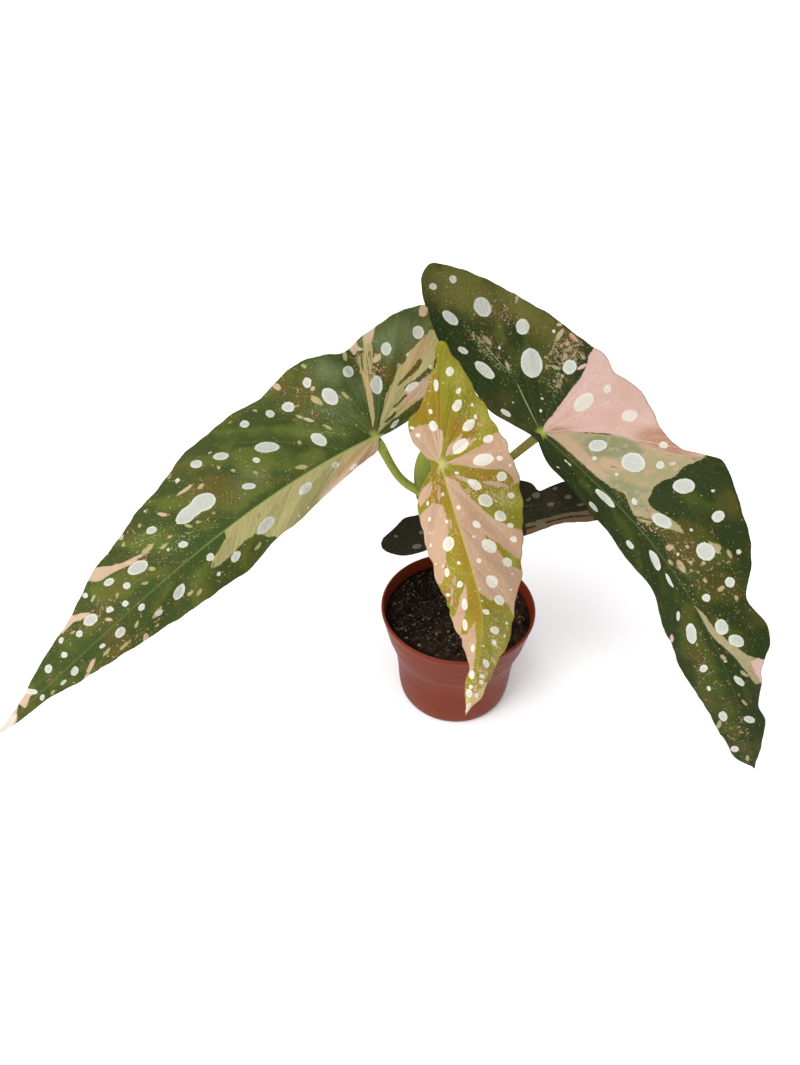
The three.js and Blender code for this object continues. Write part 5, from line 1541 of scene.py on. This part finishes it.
# %% The four leaf stalks
STALKS = {
    "petiole_left": ("leaf_left", (-19, 8, 143), (-33, 9, 153), 2.2),
    "petiole_right": ("leaf_right", (-16, 8, 130), (13, 11, 155), 2.0),
    "petiole_centre": ("leaf_centre", (-18, 8, 144), (-18, -15, 171), 2.1),
    "petiole_back": ("leaf_back", (-7, 6, 88), (-7, 18, 95), 1.8),
}
STALK_ALONG, STALK_ROUND = 90, 32
BLADE_HALF, JOINT_GAP, OVERSHOOT = 0.4, 0.3, 1.5
FOOT_SCAR, TOP_SCAR = 0.04, 0.05  # shares of the length
GREEN_FROM = (0.07, 0.12)  # metres
stalk_green = stalk_finish("green_leaf_stalk", (118, 126, 48), (114, 88, 48), GREEN_FROM)
stalk_olive = stalk_finish("olive_leaf_stalk", (90, 86, 24), (100, 74, 38), GREEN_FROM)
for node, (leaf_name, start, through, thick) in STALKS.items():
    leaf = LEAVES[leaf_name]
    top, up = bend(leaf, 0, 0), facing_of(leaf, np.zeros(1), np.zeros(1))[0]
    under = top - up * (BLADE_HALF + JOINT_GAP)
    path = stalk_path([start, through, under + up * OVERSHOOT], STALK_ALONG)
    t = np.linspace(0, 1, STALK_ALONG)
    size = thick * (1.25 - 0.25 * np.sin(np.pi * t) ** 0.7 + 0.05 * t)
    size[[0, -1]] = 0.0
    points, faces = tubes(path[None], size[None], STALK_ROUND)
    above = np.maximum((points - under) @ up, 0)
    points = points - above[:, None] * up
    scar = np.exp(-(t / FOOT_SCAR) ** 2) + 0.5 * np.exp(-((t - 1) / TOP_SCAR) ** 2)
    piece = make_piece(node.replace("petiole", "leaf_stalk"), points, faces,
                       {"scar": np.repeat(scar, STALK_ROUND)})
    place(piece, stalk_olive if node == "petiole_right" else stalk_green, node, "stalk")


# %% [markdown]
# ## Sheath
# At the top of the cane a papery green sheath, which wrapped the youngest leaf, stands open. It is a
# pointed sheet folded along a keel, with fine nerves along it and a thin pale edge.

# %% The folded sheath
SHEATH_BASE, SHEATH_TIP = np.array([-18, 10, 141.0]), np.array([-13, 13, 180.0])
SHEATH_WIDTH, SHEATH_OPEN = 12.8, 62.0
KEEL_WAY, FLANK_WAY = np.array([-0.96, -0.28, 0]), np.array([0.28, -0.96, 0])
SHEATH_UP, SHEATH_OVER = 70, 48
t = np.linspace(0, 1, SHEATH_UP)[:, None]
v = np.linspace(-1, 1, SHEATH_OVER)[None]


def sheath_face(side):
    """Height t from 0 to 1 and place v across from -1 to 1. The angle from the keel is v times the
    opening; the distance from the axis is the width at t, which swells and closes to a point."""
    width = SHEATH_WIDTH * (0.5 + 0.9 * t) * (1 - t ** 3) + 0.6
    nerves = 0.07 * np.cos(v * 26) * (1 - np.abs(v)) + 0.25 * np.abs(v) ** 3 * np.sin(9 * t + 2 * v)
    angle = np.radians(SHEATH_OPEN) * v
    reach = width + nerves + side * (0.1 + 0.3 * (1 - v ** 2)) * (1 - 0.6 * t)
    return (SHEATH_BASE + (SHEATH_TIP - SHEATH_BASE) * t[..., None]
            + KEEL_WAY * (reach * (np.cos(angle) - 0.12 * np.abs(v)))[..., None]
            + FLANK_WAY * (0.62 * reach * np.sin(angle))[..., None])


rows = np.concatenate([sheath_face(1.0), sheath_face(-1.0)[:, ::-1]], 1)
first, last = rows[:1].copy(), rows[-1:].copy()
for end in (first, last):  # both faces meet at the outer one's end
    end[:, SHEATH_OVER:] = end[:, SHEATH_OVER - 1::-1]
sheet = np.concatenate([first, rows, last])
marks = {"height": np.repeat(np.r_[0, t[:, 0], 1], 2 * SHEATH_OVER),
         "across": np.tile(np.r_[v[0], v[0, ::-1]], SHEATH_UP + 2)}
faces = grid_faces(SHEATH_UP + 2, 2 * SHEATH_OVER, wrap_columns=True)
sheath = make_piece("papery_sheath", sheet, faces, marks)

# %% Thin green sheath
sheath_finish, tree, shader = finish_tree("papery_green")
where = object_place(tree)
height, across = mark(tree, "height"), mark(tree, "across")
cloud = noise(tree, where, 90.0, 3.0)
streak = noise(tree, stretched(tree, where, (1.0, 1.0, 0.08)), 1500.0, 2.0)
level = sums(tree, "MULTIPLY_ADD", sums(tree, "SUBTRACT", cloud, 0.5), 0.7, height)
colour = blend(tree, ramp(tree, level, 0.1, 0.9), linear(84, 92, 34), linear(108, 114, 44))
colour = blend(tree, ramp(tree, streak, 0.45, 0.7, 0.0, 0.4), colour, linear(130, 134, 64))
aside = sums(tree, "ABSOLUTE", across, 0.0)
colour = blend(tree, ramp(tree, aside, 0.9, 1.0, 0.0, 0.6), colour, linear(190, 178, 128))
colour = blend(tree, ramp(tree, aside, 0.0, 0.06, 0.5, 0.0), colour, linear(96, 118, 54))
plug(tree, shader.inputs["Base Color"], colour)
plug(tree, shader.inputs["Roughness"], ramp(tree, streak, 0.3, 0.7, 0.38, 0.55))
shader.inputs["Specular IOR Level"].default_value = 0.12
relief(tree, shader, streak, 0.00015)
place(sheath, sheath_finish, "stipule", "sheath")

# %% [markdown]
# ## Size
# The part's box before and after dressing is written down in metres, to see that the finer pieces
# stay within the plain ones.

# %% Write the sizes and finish
new_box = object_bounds()


def plain(box):
    """Any nested numbers as plain lists."""
    if isinstance(box, dict):
        return {key: plain(value) for key, value in box.items()}
    if isinstance(box, (list, tuple)) or hasattr(box, "__len__") and not isinstance(box, str):
        return [plain(value) for value in box]
    return float(box) if not isinstance(box, str) else box


{"cad": plain(cad_box), "visual": plain(new_box)}
print("cad", plain(cad_box))
print("visual", plain(new_box))
